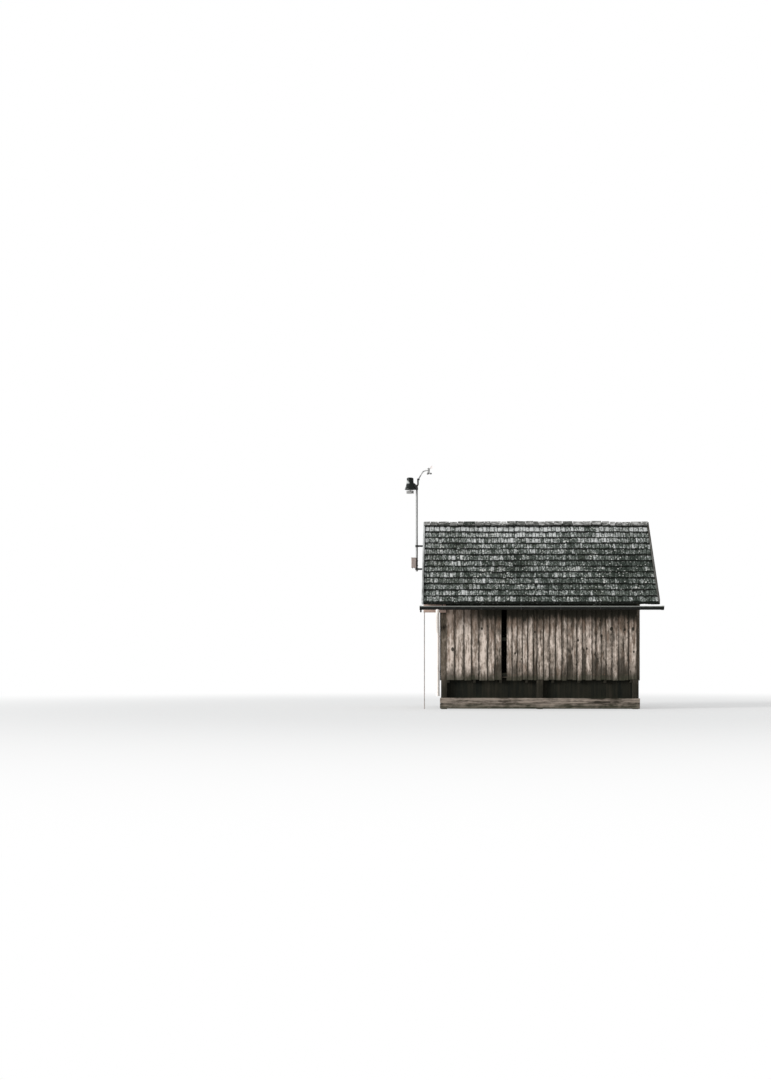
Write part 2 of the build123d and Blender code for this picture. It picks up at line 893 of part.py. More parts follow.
def wind_vane():
    """Hub with a nose weight on one side and a tall fin on the other."""
    low = head_top + bearing_gap
    middle = low + vane_hub_height / 2
    vane = upright(wind_x, 0, (low, low + vane_hub_height), vane_hub_radius)
    vane += rod((wind_x - vane_nose_length, 0, middle), (wind_x + fin_start + fin_length / 2, 0, middle),
                vane_rod_radius)
    vane += Pos(wind_x - vane_nose_length, 0, middle) * Sphere(vane_nose_radius)
    fin_x = wind_x + fin_start
    half = fin_thickness / 2
    outline = Polyline(
        (fin_x, -half, middle - 2 * vane_rod_radius),
        (fin_x + fin_length, -half, middle + vane_rod_radius),
        (fin_x + fin_length, -half, middle + fin_height),
        (fin_x + fin_length / 3, -half, middle + fin_height),
        close=True,
    )
    vane += extrude(make_face(outline), amount=fin_thickness, dir=(0, 1, 0))
    bore = upright(wind_x, 0, (low - vane_hub_height, low + 2 * vane_hub_height),
                   spindle_radius + spindle_clearance)
    return vane - bore


def sub_parts():
    """Every node's name with its shape."""
    nodes = {
        "corner_posts": corner_posts(),
        "middle_posts": middle_posts(),
        "ridge_posts": ridge_posts(),
        "centre_pile": centre_pile(),
        "wall_plates": wall_plates(),
        "ridge_beam": ridge_beam(),
        "wall_rails": wall_rails(),
        "floor_bearers": floor_bearers(),
        "floor_joists": floor_joists(),
        "floor": floor(),
        "skirt_boards": skirt_boards(),
        "tie_planks": tie_planks(),
        "front_wall_left": front_wall_left(),
        "front_wall_right": front_wall_right(),
        "back_wall": back_wall(),
        "right_gable_wall": gable_wall(),
        "left_gable_wall": mirror(gable_wall(), about=Plane.YZ),
        "front_rafters": front_rafters(),
        "front_roof_deck": front_roof_deck(),
        "front_shingles": front_shingles(),
        "ridge_cap": ridge_cap(),
        "left_barge_boards": barge_boards(-1),
        "right_barge_boards": barge_boards(1),
        "front_gutter": front_gutter(),
        "gutter_straps": gutter_straps(),
        "front_downpipe": front_downpipe(),
        "pipe_clips": pipe_clips(),
        "outrigger": outrigger(),
        "outrigger_rod": outrigger_rod(),
        "mast": mast(),
        "mast_arms": mast_arms(),
        "instrument_box": instrument_box(),
        "box_straps": box_straps(),
        "sensor_hood": sensor_hood(),
        "shield_plates": shield_plates(),
        "sensor_bracket": sensor_bracket(),
        "boom_horn": boom_horn(),
        "wind_boom": wind_boom(),
        "wind_cups": wind_cups(),
        "wind_vane": wind_vane(),
    }
    for name in ("rafters", "roof_deck", "shingles"):
        nodes["back_" + name] = mirrored_y(nodes["front_" + name])
    return nodes


if __name__ == "__main__":
    os.makedirs("parts", exist_ok=True)
    for name, shape in sub_parts().items():
        export_step(shape, os.path.join("parts", name + ".step"))
        print(name, round(shape.volume / 1e6, 2), "litres")
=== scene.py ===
"""Finish for a timber hut on posts, laid out as an add-on and run as a script.

Every piece is in metres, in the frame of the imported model: +Z up, the long
front wall faces -Y and the ridge runs along X. Boards, shingles and ridge
boards are made here; posts, beams and sheet metal come from the model.
"""

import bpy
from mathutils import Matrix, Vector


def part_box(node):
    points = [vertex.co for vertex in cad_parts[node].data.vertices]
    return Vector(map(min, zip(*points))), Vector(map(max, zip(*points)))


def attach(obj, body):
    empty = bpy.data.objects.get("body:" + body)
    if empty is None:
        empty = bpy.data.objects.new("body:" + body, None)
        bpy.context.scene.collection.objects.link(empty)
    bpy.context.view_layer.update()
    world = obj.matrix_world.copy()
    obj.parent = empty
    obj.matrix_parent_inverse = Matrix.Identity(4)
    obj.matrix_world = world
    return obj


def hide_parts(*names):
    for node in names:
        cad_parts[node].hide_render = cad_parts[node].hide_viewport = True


bl_info = {
    "name": "Timber Hut Finish",
    "version": (1, 0, 0),
    "blender": (4, 5, 0),
    "location": "3D View > Sidebar > Hut",
    "description": "Boards, shingles, nails and finishes for a timber hut on posts",
    "category": "Object",
}

import math
import random
from contextlib import contextmanager
from functools import reduce
from types import SimpleNamespace
from typing import NamedTuple

import bpy
from bpy.props import FloatProperty, FloatVectorProperty, IntProperty, PointerProperty
from mathutils import Matrix, Vector

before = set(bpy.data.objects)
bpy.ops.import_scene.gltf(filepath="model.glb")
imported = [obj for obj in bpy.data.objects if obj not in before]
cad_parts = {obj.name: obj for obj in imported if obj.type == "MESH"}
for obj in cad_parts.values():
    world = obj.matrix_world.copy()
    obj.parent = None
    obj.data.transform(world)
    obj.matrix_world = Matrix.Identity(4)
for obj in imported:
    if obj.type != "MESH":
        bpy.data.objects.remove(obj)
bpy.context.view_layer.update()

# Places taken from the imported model
roof_low, roof_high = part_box("front_shingles")
wall_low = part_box("front_wall_left")[0]
wall_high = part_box("front_wall_right")[1]
gable_low, gable_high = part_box("right_gable_wall")
floor_low, floor_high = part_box("floor")
gutter_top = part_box("front_gutter")[1].z
rails_low, rails_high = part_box("wall_rails")
apex = roof_high.z
eave_run = -roof_low.y
roof_half = roof_high.x
deck_edge = -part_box("front_roof_deck")[0].y

# Heights of the rows of nails; the highest is only on the gables
nail_heights = (rails_low.z + 0.04, 1.6, rails_high.z - 0.04)

# Right edge of each front board, how pale it is, and how far its edges wander
boards_left_of_gap = (
    (-1.951, 0.8, 1.0), (-1.734, 0.72, 1.0), (-1.563, 0.84, 1.0), (-1.398, 0.54, 1.0),
    (-1.197, 0.7, 1.0), (-1.026, 0.66, 3.0), (-0.866, 0.4, 1.0),
)
boards_right_of_gap = (
    (-0.638, 0.66, 1.0), (-0.523, 0.56, 1.0), (-0.402, 0.6, 1.0), (-0.279, 0.76, 1.0),
    (-0.151, 0.72, 1.0), (-0.066, 0.5, 1.0), (0.082, 0.68, 1.0), (0.208, 0.64, 1.4),
    (0.356, 0.6, 1.0), (0.505, 0.62, 1.0), (0.619, 0.54, 1.0), (0.733, 0.34, 1.6),
    (0.848, 0.6, 1.0), (0.973, 0.64, 1.0), (1.042, 0.3, 1.0), (1.19, 0.8, 1.0),
    (1.282, 0.46, 1.0), (1.396, 0.52, 1.0), (1.51, 0.54, 1.0), (1.647, 0.6, 1.0),
    (1.796, 0.64, 1.0), (1.922, 0.34, 1.0), (2.024, 0.46, 1.4), (2.22, 0.6, 1.0),
)

# How far from the middle the long walls' boards lie: their finish starts at the first of
# these and is full at the second. Their shade ends lower than the gables', by `eave_drop`
long_wall_step = (1.474, 1.477)
eave_drop = 0.38

# Boards darker than this lie behind their neighbours
inner_tone = 0.37

# Large knots of the front wall: place along the wall, height and radius
large_knots = (
    (-1.996, 1.37, 0.045), (-1.327, 1.84, 0.03), (-0.115, 1.763, 0.026), (-0.568, 1.275, 0.026),
    (0.874, 1.574, 0.03), (0.837, 1.02, 0.026), (1.073, 1.384, 0.028), (1.406, 1.672, 0.036),
    (1.379, 2.03, 0.024), (1.633, 1.836, 0.046), (1.939, 1.818, 0.03), (2.131, 1.836, 0.042),
    (2.147, 1.311, 0.028),
)

# Paler and darker places of the front slope: place along the ridge, course,
# half length, courses and change of tone
roof_patches = (
    (-2.36, 1.5, 0.36, 1.6, -0.16), (1.27, 1.2, 0.16, 1.0, -0.4), (-1.5, 2.0, 0.36, 0.7, -0.2),
    (0.83, 2.0, 0.22, 0.7, -0.25), (-0.35, 2.3, 0.85, 1.2, 0.14), (1.55, 2.4, 0.4, 1.3, 0.2),
    (-0.46, 7.0, 0.17, 1.6, -0.3), (1.85, 8.0, 0.15, 1.6, -0.3), (-1.9, 7.0, 0.22, 0.6, 0.22),
    (-1.95, 12.3, 0.65, 1.2, 0.08), (0.0, 11.0, 0.07, 1.6, 0.3), (1.9, 7.5, 0.6, 3.0, -0.12),
)

# Fixed sizes of the boards: the outer ones of a wall stand before the inner ones by
# `outer_lift`, and the middle of a nail's head is `nail_seat` before its board's back
wall_board_thickness = 0.013
outer_lift = 0.0115
nail_seat = 0.0125
floor_board_thickness = 0.022
tie_plank_thickness = 0.034
ridge_board_thickness = 0.016
skirt_board_width = 0.13
clearance = 0.002

# Where the skirt boards start beside the posts in the middle of each side
middle_post_side = 0.0702
ridge_post_side = 0.0502

# Rows of tie planks, from foot to top
tie_plank_rows = ((0.013, 0.134), (0.141, 0.26))

# A shingle is modelled at this width and then scaled to its own
blank_width = 0.1

# Tones of the courses from the ridge down: the first ones dry fastest and are the palest
first_course_tones = (0.9, 0.66, 0.58, 0.5, 0.47, 0.45)
course_tone = 0.42

# A few shingles are paler than their course, and fewer have slipped down the slope
pale_chance, pale_by = 0.04, 0.22
slipped_chance, slipped_by = 0.012, 0.03


def length_setting(name, description, default):
    return FloatProperty(name=name, description=description, default=default,
                         subtype="DISTANCE", unit="LENGTH")


def colour_setting(name, description, *rgb):
    return FloatVectorProperty(name=name, description=description, default=rgb + (1,),
                               size=4, subtype="COLOR")


class HutSizes(bpy.types.PropertyGroup):
    """Sizes of the boards and shingles."""

    roof_pitch: FloatProperty(
        name="Roof pitch", description="Slope of the roof from level",
        default=math.radians(47.5), subtype="ANGLE", unit="ROTATION")
    course_count: IntProperty(
        name="Courses", description="Courses of shingles on each slope", default=13, min=1)
    ridge_leg: length_setting("Ridge board width", "Width of each ridge board, down the slope", 0.15)
    ridge_rise: length_setting(
        "Ridge board rise", "How far the front ridge boards stand over the ridge, up the slope", 0.045)
    # The black starter courses are painted shade under the last course's butts
    starter_show: length_setting(
        "Starter course", "How much of the black starter courses shows at the eave", 0.056)
    nail_radius: length_setting("Nail radius", "Radius of the nail heads in the boards", 0.0055)
    ridge_length: length_setting("Ridge board length", "Usual length of a ridge board", 0.21)
    course_step: length_setting("Course step", "How far a butt stands over the course below", 0.018)
    shingle_narrow: length_setting("Narrowest shingle", "Least width of a shingle", 0.045)
    shingle_wide: length_setting("Widest shingle", "Greatest width of a shingle", 0.1)
    shingle_thickness: length_setting("Shingle thickness", "Thickness at the butt", 0.016)
    board_narrow: length_setting("Narrowest board", "Least width of a board on the plain walls", 0.1)
    board_wide: length_setting("Widest board", "Greatest width of a board on the plain walls", 0.2)
    board_lap: length_setting("Board lap", "How far an inner board reaches behind an outer one", 0.032)
    joint_narrow: length_setting("Narrowest joint", "Least gap between two outer boards", 0.007)
    joint_wide: length_setting("Widest joint", "Greatest gap between two outer boards", 0.023)
    waney_depth: length_setting("Waney depth", "How far the board edges wander", 0.017)
    joist_width: length_setting("Joist width", "Width of a floor joist", 0.06)
    bearer_width: length_setting("Bearer width", "Width of a floor bearer", 0.08)
    arris: length_setting("Arris", "Width of the worn edges of posts and beams", 0.006)


class HutColours(bpy.types.PropertyGroup):
    """Colours of the finishes."""

    board_pale: colour_setting("Pale board", "Bleached wall board", 0.65, 0.55, 0.475)
    board_mid: colour_setting("Middle board", "Weathered wall board", 0.27, 0.223, 0.184)
    board_brown: colour_setting("Brown board", "Unbleached streaks of wall boards", 0.17, 0.11, 0.075)
    board_dark: colour_setting("Dark board", "Stained wall board", 0.035, 0.03, 0.022)
    # Painted shade, partly dirt, nearly black: in the laps of the shingles, under the ridge boards, at
    # the eave, on the skirt boards and on the rails inside
    lap_shade_and_dirt: colour_setting("Lap stain", "Dirt in the laps of the shingles", 0.0055, 0.0065, 0.0048)
    # Painted shade under the eaves, under the floor and inside the hut, partly unbleached and damp wood;
    # also the colour of the large knots
    shade_and_stain_brown: colour_setting("Eave stain", "Unbleached wood under the eaves", 0.014, 0.0135, 0.009)
    shingle_pale: colour_setting("Pale shingle", "Bleached shingle", 0.6, 0.61, 0.6)
    shingle_mid: colour_setting("Middle shingle", "Weathered shingle", 0.112, 0.129, 0.113)
    shingle_dark: colour_setting("Dark shingle", "Wet or mossy shingle", 0.022, 0.029, 0.023)
    ridge_pale: colour_setting("Pale ridge board", "Bleached ridge board", 0.5, 0.495, 0.48)
    ridge_mid: colour_setting("Middle ridge board", "Weathered ridge board", 0.15, 0.148, 0.138)
    timber_pale: colour_setting("Pale timber", "Worn parts of posts and beams", 0.27, 0.225, 0.18)
    timber_mid: colour_setting("Middle timber", "Posts and beams", 0.1, 0.08, 0.06)
    timber_dark: colour_setting("Dark timber", "Stained parts of posts and beams", 0.03, 0.025, 0.018)
    fresh_timber: colour_setting("Fresh timber", "The outrigger's wood", 0.56, 0.39, 0.33)
    lichen: colour_setting("Lichen", "Pale spots on the shingles", 0.66, 0.66, 0.62)
    moss: colour_setting("Moss", "Green growth low on the wood", 0.032, 0.037, 0.021)
    zinc: colour_setting("Pipe", "Pale sheet of the downpipe", 0.78, 0.72, 0.67)
    gutter_sheet: colour_setting("Gutter", "Dark sheet of the gutter", 0.008, 0.009, 0.0075)
    # Painted highlight along the gutter's bead, partly wear
    gutter_rim: colour_setting("Gutter rim", "Worn bead along the gutter", 0.26, 0.27, 0.25)
    galvanised: colour_setting("Galvanised steel", "Mast, cups and wear on pale metal", 0.2, 0.2, 0.195)
    dark_steel: colour_setting("Dark steel", "Clamps, brackets, straps and nails", 0.008, 0.0085, 0.0075)
    box_casing: colour_setting("Box", "Instrument box and rod", 0.33, 0.275, 0.25)
    dark_casing: colour_setting("Dark casing", "Sensor hood", 0.006, 0.0085, 0.007)
    grey_casing: colour_setting("Grey casing", "Shield plates and boom", 0.6, 0.59, 0.575)
    pale_casing: colour_setting("Pale casing", "Wind vane", 0.86, 0.78, 0.75)
    rust: colour_setting("Rust", "Stains on metal", 0.2, 0.09, 0.05)


def sizes():
    return bpy.context.scene.hut_sizes


def colours():
    return bpy.context.scene.hut_colours


# Modelling

def deselect():
    bpy.ops.object.select_all(action="DESELECT")


def pick(piece):
    """Makes one piece the only selected and the active object."""
    deselect()
    piece.select_set(True)
    bpy.context.view_layer.objects.active = piece


def settle(name):
    """Names the active object and moves its place into its mesh."""
    piece = bpy.context.active_object
    bpy.ops.object.transform_apply(location=True, rotation=True, scale=True)
    piece.name = piece.data.name = name
    return piece


def add_box(name, low, high):
    """Box between two corners, with its place in its mesh."""
    deselect()
    middle = [(a + b) / 2 for a, b in zip(low, high)]
    size = [b - a for a, b in zip(low, high)]
    bpy.ops.mesh.primitive_cube_add(size=1, location=middle, scale=size)
    return settle(name)


def parts_to_test(mesh, kind):
    """Vertices with their place, edges with both ends or faces with their normal."""
    points = mesh.vertices
    if kind == "VERT":
        return [(point, (point.co,)) for point in points]
    if kind == "EDGE":
        return [(edge, [points[end].co for end in edge.vertices]) for edge in mesh.edges]
    return [(face, (face.normal,)) for face in mesh.polygons]


@contextmanager
def editing(piece, kind=None, wanted=None):
    """Edit mode on one piece, with all of it selected, or the parts of one kind that pass `wanted`."""
    pick(piece)
    bpy.ops.object.mode_set(mode="EDIT")
    if kind:
        bpy.ops.mesh.select_mode(type=kind)
        bpy.ops.mesh.select_all(action="DESELECT")
        bpy.ops.object.mode_set(mode="OBJECT")
        for part, seen in parts_to_test(piece.data, kind):
            part.select = wanted(*seen)
        bpy.ops.object.mode_set(mode="EDIT")
    else:
        bpy.ops.mesh.select_all(action="SELECT")
    yield
    bpy.ops.object.mode_set(mode="OBJECT")


def modify(piece, kind, **settings):
    """Adds one modifier and applies it."""
    pick(piece)
    modifier = piece.modifiers.new(kind.title(), kind)
    for key, value in settings.items():
        setattr(modifier, key, value)
    bpy.ops.object.modifier_apply(modifier=modifier.name)


def round_edges(piece, width, segments, angle=50):
    """Bevels the edges where faces meet at more than `angle` degrees."""
    modify(piece, "BEVEL", width=width, segments=segments, limit_method="ANGLE",
           angle_limit=math.radians(angle))


def added(name, mesh):
    """New object with a mesh, in the scene."""
    piece = bpy.data.objects.new(name, mesh)
    bpy.context.scene.collection.objects.link(piece)
    return piece


def placed_copy(blank, matrix, tone, seed):
    """Copy of a blank with its own mesh, moved into place, that carries its tone and seed."""
    mesh = blank.data.copy()
    mesh.transform(matrix)
    for key, value in (("tone", tone), ("seed", seed)):
        layer = mesh.attributes.new(key, "FLOAT", "POINT")
        layer.data.foreach_set("value", [value] * len(mesh.vertices))
    return added(blank.name, mesh)


def mark(blank, key, value):
    """Stores a value for each point of a blank, worked out from its place."""
    layer = blank.data.attributes.new(key, "FLOAT", "POINT")
    for item, point in zip(layer.data, blank.data.vertices):
        item.value = value(point.co)


def joined(name, parts):
    deselect()
    for part in parts:
        part.select_set(True)
    bpy.context.view_layer.objects.active = parts[0]
    bpy.ops.object.join()
    piece = bpy.context.active_object
    piece.name = piece.data.name = name
    return piece


def discard(*pieces):
    for piece in pieces:
        bpy.data.meshes.remove(piece.data)


def drop_slivers(piece):
    """Takes out edges and faces that have shrunk to nothing."""
    with editing(piece):
        bpy.ops.mesh.dissolve_degenerate(threshold=0.00001)


def wander(piece, name, size, direction, strength):
    """Moves the surface to and fro along one axis by a cloud texture of one size."""
    texture = bpy.data.textures.get(name) or bpy.data.textures.new(name, "CLOUDS")
    texture.noise_scale = size
    modify(piece, "DISPLACE", texture=texture, texture_coords="LOCAL", direction=direction,
           strength=strength, mid_level=0.5)


def finish_piece(piece, material, slot, *nodes):
    """Gives a piece its material, lets it ride on the hut and stand for its nodes."""
    piece.data.materials.clear()
    piece.data.materials.append(material)
    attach(piece, "hut")
    if nodes:
        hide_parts(*nodes)


def ridge_foot():
    """How far down the slope the front ridge boards reach."""
    return sizes().ridge_leg - sizes().ridge_rise


def exposure():
    """How much of each course shows, down the slope."""
    slope = eave_run / math.cos(sizes().roof_pitch)
    return (slope - sizes().starter_show - ridge_foot()) / sizes().course_count


def moved(x, y, z):
    return Matrix.Translation((x, y, z))


def rotated(angle, axis):
    return Matrix.Rotation(angle, 4, axis)


def scaled(x, y, z):
    return Matrix.Diagonal((x, y, z, 1))


def slope_frame(back=False):
    """Local x along the ridge, y up the slope and z out of the roof, from the ridge line."""
    front = moved(0, 0, apex) @ rotated(sizes().roof_pitch, "X")
    return rotated(math.pi, "Z") @ front if back else front


def clamp(value, low=0.0, high=1.0):
    return max(low, min(high, value))


# Boards

class Board(NamedTuple):
    """A board seen from outside, standing or lying.

    Its tone is how pale it is, its lift how far it stands before the inner boards, and
    `waney` how far its edges wander, as a share of the usual.
    """
    left: float
    right: float
    foot: float = 0.0
    top: float = 0.0
    tone: float = 0.5
    lift: float = 0.0
    waney: float = 0.0


def board_blank(thickness, cuts):
    """Board 1 m wide and 1 m long, standing on end, with rings of edges along it."""
    blank = add_box("board", (-0.5, -thickness, 0), (0.5, 0, 1))
    with editing(blank, "EDGE", lambda a, b: abs(a.z - b.z) > 0.5):
        bpy.ops.mesh.subdivide(number_cuts=cuts)
    mark(blank, "across", lambda co: 2 * co.x)
    return blank


def board_set(name, blank, boards, matrix, rng, lean=0.003, cut=None):
    """Boards side by side, each out of true by up to `lean`, and each one cut by `cut`."""
    parts = []
    for board in boards:
        middle = (board.left + board.right) / 2
        fit = moved(middle, -board.lift, board.foot) @ rotated(rng.uniform(-lean, lean), "Y")
        fit = fit @ scaled(board.right - board.left, 1, board.top - board.foot)
        part = placed_copy(blank, Matrix(), board.tone, rng.random())
        part.data.transform(fit)
        if board.waney:
            wander(part, "waney edge", 0.3, "X", sizes().waney_depth * board.waney)
            wander(part, "cupping", 0.16, "Y", 0.005)
        part.data.transform(matrix)
        if matrix.determinant() < 0:
            part.data.flip_normals()
        if cut:
            cut(part)
        parts.append(part)
    piece = joined(name, parts)
    round_edges(piece, width=0.0025, segments=1)
    drop_slivers(piece)
    return piece


def lapped(boards, foot, top, rng):
    """Boards of one height side by side, the dark ones behind the others, with ragged feet.

    A strip behind each joint of two outer boards keeps the wall closed.
    """
    settings = sizes()
    lap = settings.board_lap
    start, end = boards[0].left, boards[-1].right
    placed = []
    for board, following in zip(boards, [*boards[1:], None]):
        board = board._replace(foot=foot + rng.uniform(-0.014, 0.012), top=top)
        if board.tone < inner_tone:
            left, right = max(board.left - lap, start), min(board.right + lap, end)
            placed.append(board._replace(left=left, right=right, waney=0.0))
            continue
        joint = rng.uniform(settings.joint_narrow, settings.joint_wide) / 2
        placed.append(board._replace(
            left=board.left + joint, right=board.right - joint, lift=outer_lift))
        if following and following.tone >= inner_tone:
            placed.append(Board(
                board.right - lap, board.right + lap, foot + 0.004, top, rng.uniform(0.1, 0.26)))
    return placed


def nail_blank():
    """Forged nail head with a low crown, standing out along -Y."""
    deselect()
    bpy.ops.mesh.primitive_cylinder_add(vertices=7, radius=sizes().nail_radius, depth=0.003,
                                        rotation=(math.pi / 2, 0, 0))
    blank = settle("nail")
    with editing(blank, "FACE", lambda normal: normal.y < -0.9):
        bpy.ops.mesh.inset(thickness=0.002, depth=0.0012)
    return blank


def nail_rows(name, boards, heights, matrix, rng, top=None):
    """Two nails where each outer board crosses each rail, below the line that `top` gives."""
    blank = nail_blank()
    parts = []
    for board in boards:
        inset = min(0.03, (board.right - board.left) * 0.3)
        for height in heights if board.lift else ():
            for across in (board.left + inset, board.right - inset):
                if top and height > top(across):
                    continue
                spot = moved(across + rng.uniform(-0.006, 0.006), -board.lift - nail_seat,
                             height + rng.uniform(-0.014, 0.014))
                parts.append(placed_copy(blank, matrix @ spot, rng.random(), rng.random()))
    discard(blank)
    iron = metal("Nail Iron", colours().dark_steel, colours().rust, 0.6)
    finish_piece(joined(name, parts), iron, "dark_steel")


def random_boards(low, high, rng):
    """Boards of a plain wall between two places, with a dark one now and then."""
    boards = []
    left = low
    while left < high - 0.001:
        right = left + rng.uniform(sizes().board_narrow, sizes().board_wide)
        if high - right < sizes().board_narrow:
            right = high
        tone = clamp(rng.gauss(0.54, 0.13), 0.2, 0.85)
        if boards and boards[-1].tone < inner_tone:
            tone = max(tone, 0.42)
        boards.append(Board(left, right, tone=tone, waney=rng.choice((1.0, 1.0, 1.5))))
        left = right
    return boards


def boards_along(start, row):
    """Boards from a row of (right edge, tone, wander)."""
    boards = []
    for right, tone, waney in row:
        boards.append(Board(boards[-1].right if boards else start, right, tone=tone, waney=waney))
    return boards


def board_wall(side, nodes, blank, boards, matrix, rng, heights, cut=None, top=None):
    """Boards of one wall with their nails, which stand for its nodes."""
    piece = board_set(side + "_boards", blank, boards, matrix, rng, cut=cut)
    finish_piece(piece, silvered_boards(), "wall_boards", *nodes)
    nail_rows(side + "_nails", boards, heights, matrix, rng, top)


class HUT_OT_front_wall(bpy.types.Operator):
    """Waney boards of the long front wall, in two stretches beside the missing board"""
    bl_idname = "hut.front_wall"
    bl_label = "Front Wall"

    def execute(self, context):
        rng = random.Random(11)
        blank = board_blank(wall_board_thickness, 15)
        gap_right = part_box("front_wall_right")[0].x
        matrix = moved(0, wall_high.y, 0)
        boards = []
        for start, row in ((wall_low.x, boards_left_of_gap), (gap_right, boards_right_of_gap)):
            boards += lapped(boards_along(start, row), wall_low.z, wall_high.z, rng)
        board_wall("front", ("front_wall_left", "front_wall_right"), blank, boards, matrix, rng,
                   nail_heights[:2])
        discard(blank)
        return {"FINISHED"}


class HUT_OT_plain_walls(bpy.types.Operator):
    """Boards of the back wall and of both gables, cut along the roof"""
    bl_idname = "hut.plain_walls"
    bl_label = "Back and Gables"

    def execute(self, context):
        rng = random.Random(23)
        blank = board_blank(wall_board_thickness, 15)
        back_low, back_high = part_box("back_wall")
        matrix = moved(0, back_low.y, 0) @ rotated(math.pi, "Z")
        boards = lapped(random_boards(back_low.x, back_high.x, rng), back_low.z, back_high.z, rng)
        board_wall("back", ["back_wall"], blank, boards, matrix, rng, nail_heights[:2])
        for side, name in ((1, "right_gable"), (-1, "left_gable")):
            matrix = moved(side * gable_low.x, 0, 0) @ rotated(side * math.pi / 2, "Z")
            boards = random_boards(gable_low.y, gable_high.y, rng)
            boards = lapped(boards, gable_low.z, gable_high.z, rng)
            board_wall(name, [name + "_wall"], blank, boards, matrix, rng, nail_heights,
                       cut=self.cut_to_roof, top=self.nail_limit)
        discard(blank)
        return {"FINISHED"}

    def nail_limit(self, across):
        """Greatest height of a nail, a little under the gable's slopes."""
        return gable_high.z - 0.05 - abs(across) * math.tan(sizes().roof_pitch)

    def cut_to_roof(self, piece):
        """Takes off what rises past the gable's slopes."""
        pitch = sizes().roof_pitch
        for side in (-1, 1):
            with editing(piece):
                bpy.ops.mesh.bisect(
                    plane_co=(0, 0, gable_high.z), plane_no=(0, side * math.sin(pitch), math.cos(pitch)),
                    use_fill=True, clear_outer=True)


class HUT_OT_skirt(bpy.types.Operator):
    """Dark upright boards that close the space under the floor, set back between the posts"""
    bl_idname = "hut.skirt"
    bl_label = "Skirt Boards"

    def execute(self, context):
        rng = random.Random(83)
        low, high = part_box("skirt_boards")
        thickness = wall_high.y - wall_low.y
        blank = board_blank(thickness, 5)
        joist_low, joist_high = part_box("floor_joists")
        outermost = joist_high.x - sizes().joist_width / 2
        joists = [-outermost + number * outermost / 3.5 for number in range(8)]
        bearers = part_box("floor_bearers")[1].y - sizes().bearer_width
        long_side = (-high.y, (middle_post_side, high.x - thickness - clearance), joists)
        gable_side = (-high.x, (ridge_post_side, bearers - clearance), ())
        parts = []
        for turn, (face, stretch, crossing) in (
            (0, long_side), (math.pi, long_side), (math.pi / 2, gable_side), (-math.pi / 2, gable_side),
        ):
            matrix = rotated(turn, "Z") @ moved(0, face + thickness, 0)
            for side in (-1, 1):
                start, end = sorted(side * along for along in stretch)
                boards = self.fill(start, end, low.z, high.z, joist_low.z - clearance, crossing, rng)
                parts.append(board_set("skirt", blank, boards, matrix, rng, lean=0.0))
        finish_piece(joined("skirt_wall_boards", parts), damp_and_painted_shade_boards(), "wall_boards", "skirt_boards")
        discard(blank)
        return {"FINISHED"}

    def fill(self, start, end, foot, top, under_joist, joists, rng):
        """Boards between the joists, with a short one under each joist."""
        half = sizes().joist_width / 2 + clearance
        boards = []
        left = start
        for joist in [j for j in joists if start < j < end] + [end + half]:
            right = joist - half
            count = max(1, round((right - left) / skirt_board_width)) if right > left else 0
            for number in range(count):
                width = (right - left) / count
                boards.append(Board(left + number * width, left + (number + 1) * width,
                                    foot + rng.uniform(0, 0.02), top, rng.uniform(0.25, 0.6)))
            if right < end:
                boards.append(Board(right, min(joist + half, end), foot, under_joist,
                                    rng.uniform(0.25, 0.5)))
            left = joist + half
        return boards


class HUT_OT_floor_and_deck(bpy.types.Operator):
    """Boards of the floor and of both roof decks"""
    bl_idname = "hut.floor_and_deck"
    bl_label = "Floor and Roof Deck"

    def execute(self, context):
        rng = random.Random(31)
        blank = board_blank(floor_board_thickness, 7)
        lying = Matrix(((0, 0, 1, 0), (1, 0, 0, 0), (0, -1, 0, 0), (0, 0, 0, 1)))
        boards = [board._replace(foot=floor_low.x, top=floor_high.x, waney=0.0)
                  for board in random_boards(floor_low.y, floor_high.y, rng)]
        matrix = moved(0, 0, floor_low.z) @ lying
        piece = board_set("floor_boards", blank, boards, matrix, rng)
        finish_piece(piece, frame_timber("X", 42), "wall_boards", "floor")
        slope = deck_edge / math.cos(sizes().roof_pitch)
        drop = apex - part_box("front_roof_deck")[1].z
        depth = drop * math.cos(sizes().roof_pitch) + floor_board_thickness
        for side in ("front", "back"):
            boards = [board._replace(right=board.right - clearance, foot=-roof_half, top=roof_half,
                                     waney=0.0) for board in random_boards(-slope, 0, rng)]
            matrix = slope_frame(side == "back") @ moved(0, 0, -depth) @ lying
            piece = board_set(side + "_deck_boards", blank, boards, matrix, rng)
            finish_piece(piece, frame_timber("X", 8), "frame_timber", side + "_roof_deck")
        discard(blank)
        return {"FINISHED"}


# Shingles

def shingle_blank(length, hidden=False):
    """Split shingle: thin at its head, crowned, with rounded butt corners.

    A hidden one carries a reach past every lap, so its finish is black all over: painted shade.
    """
    half = blank_width / 2
    thickness = sizes().shingle_thickness
    blank = add_box("shingle", (-half, 0, -thickness), (half, length, 0))
    with editing(blank, "VERT", lambda co: co.y > length / 2 and co.z < -thickness / 2):
        bpy.ops.transform.translate(value=(0, 0, thickness * 0.55))
    with editing(blank, "EDGE", lambda a, b: abs(a.z - b.z) > thickness / 2 and a.y < 0.001):
        bpy.ops.mesh.bevel(offset=0.012, segments=2)
    with editing(blank, "EDGE", lambda a, b: abs(a.x - b.x) > half):
        bpy.ops.mesh.subdivide(number_cuts=2)
    with editing(blank, "VERT", lambda co: abs(co.x) < 0.03):
        bpy.ops.transform.translate(value=(0, 0, 0.0018))
    drop_slivers(blank)
    mark(blank, "across", lambda co: co.x / half)
    mark(blank, "reach", lambda co: 1.0 if hidden else co.y)
    return blank


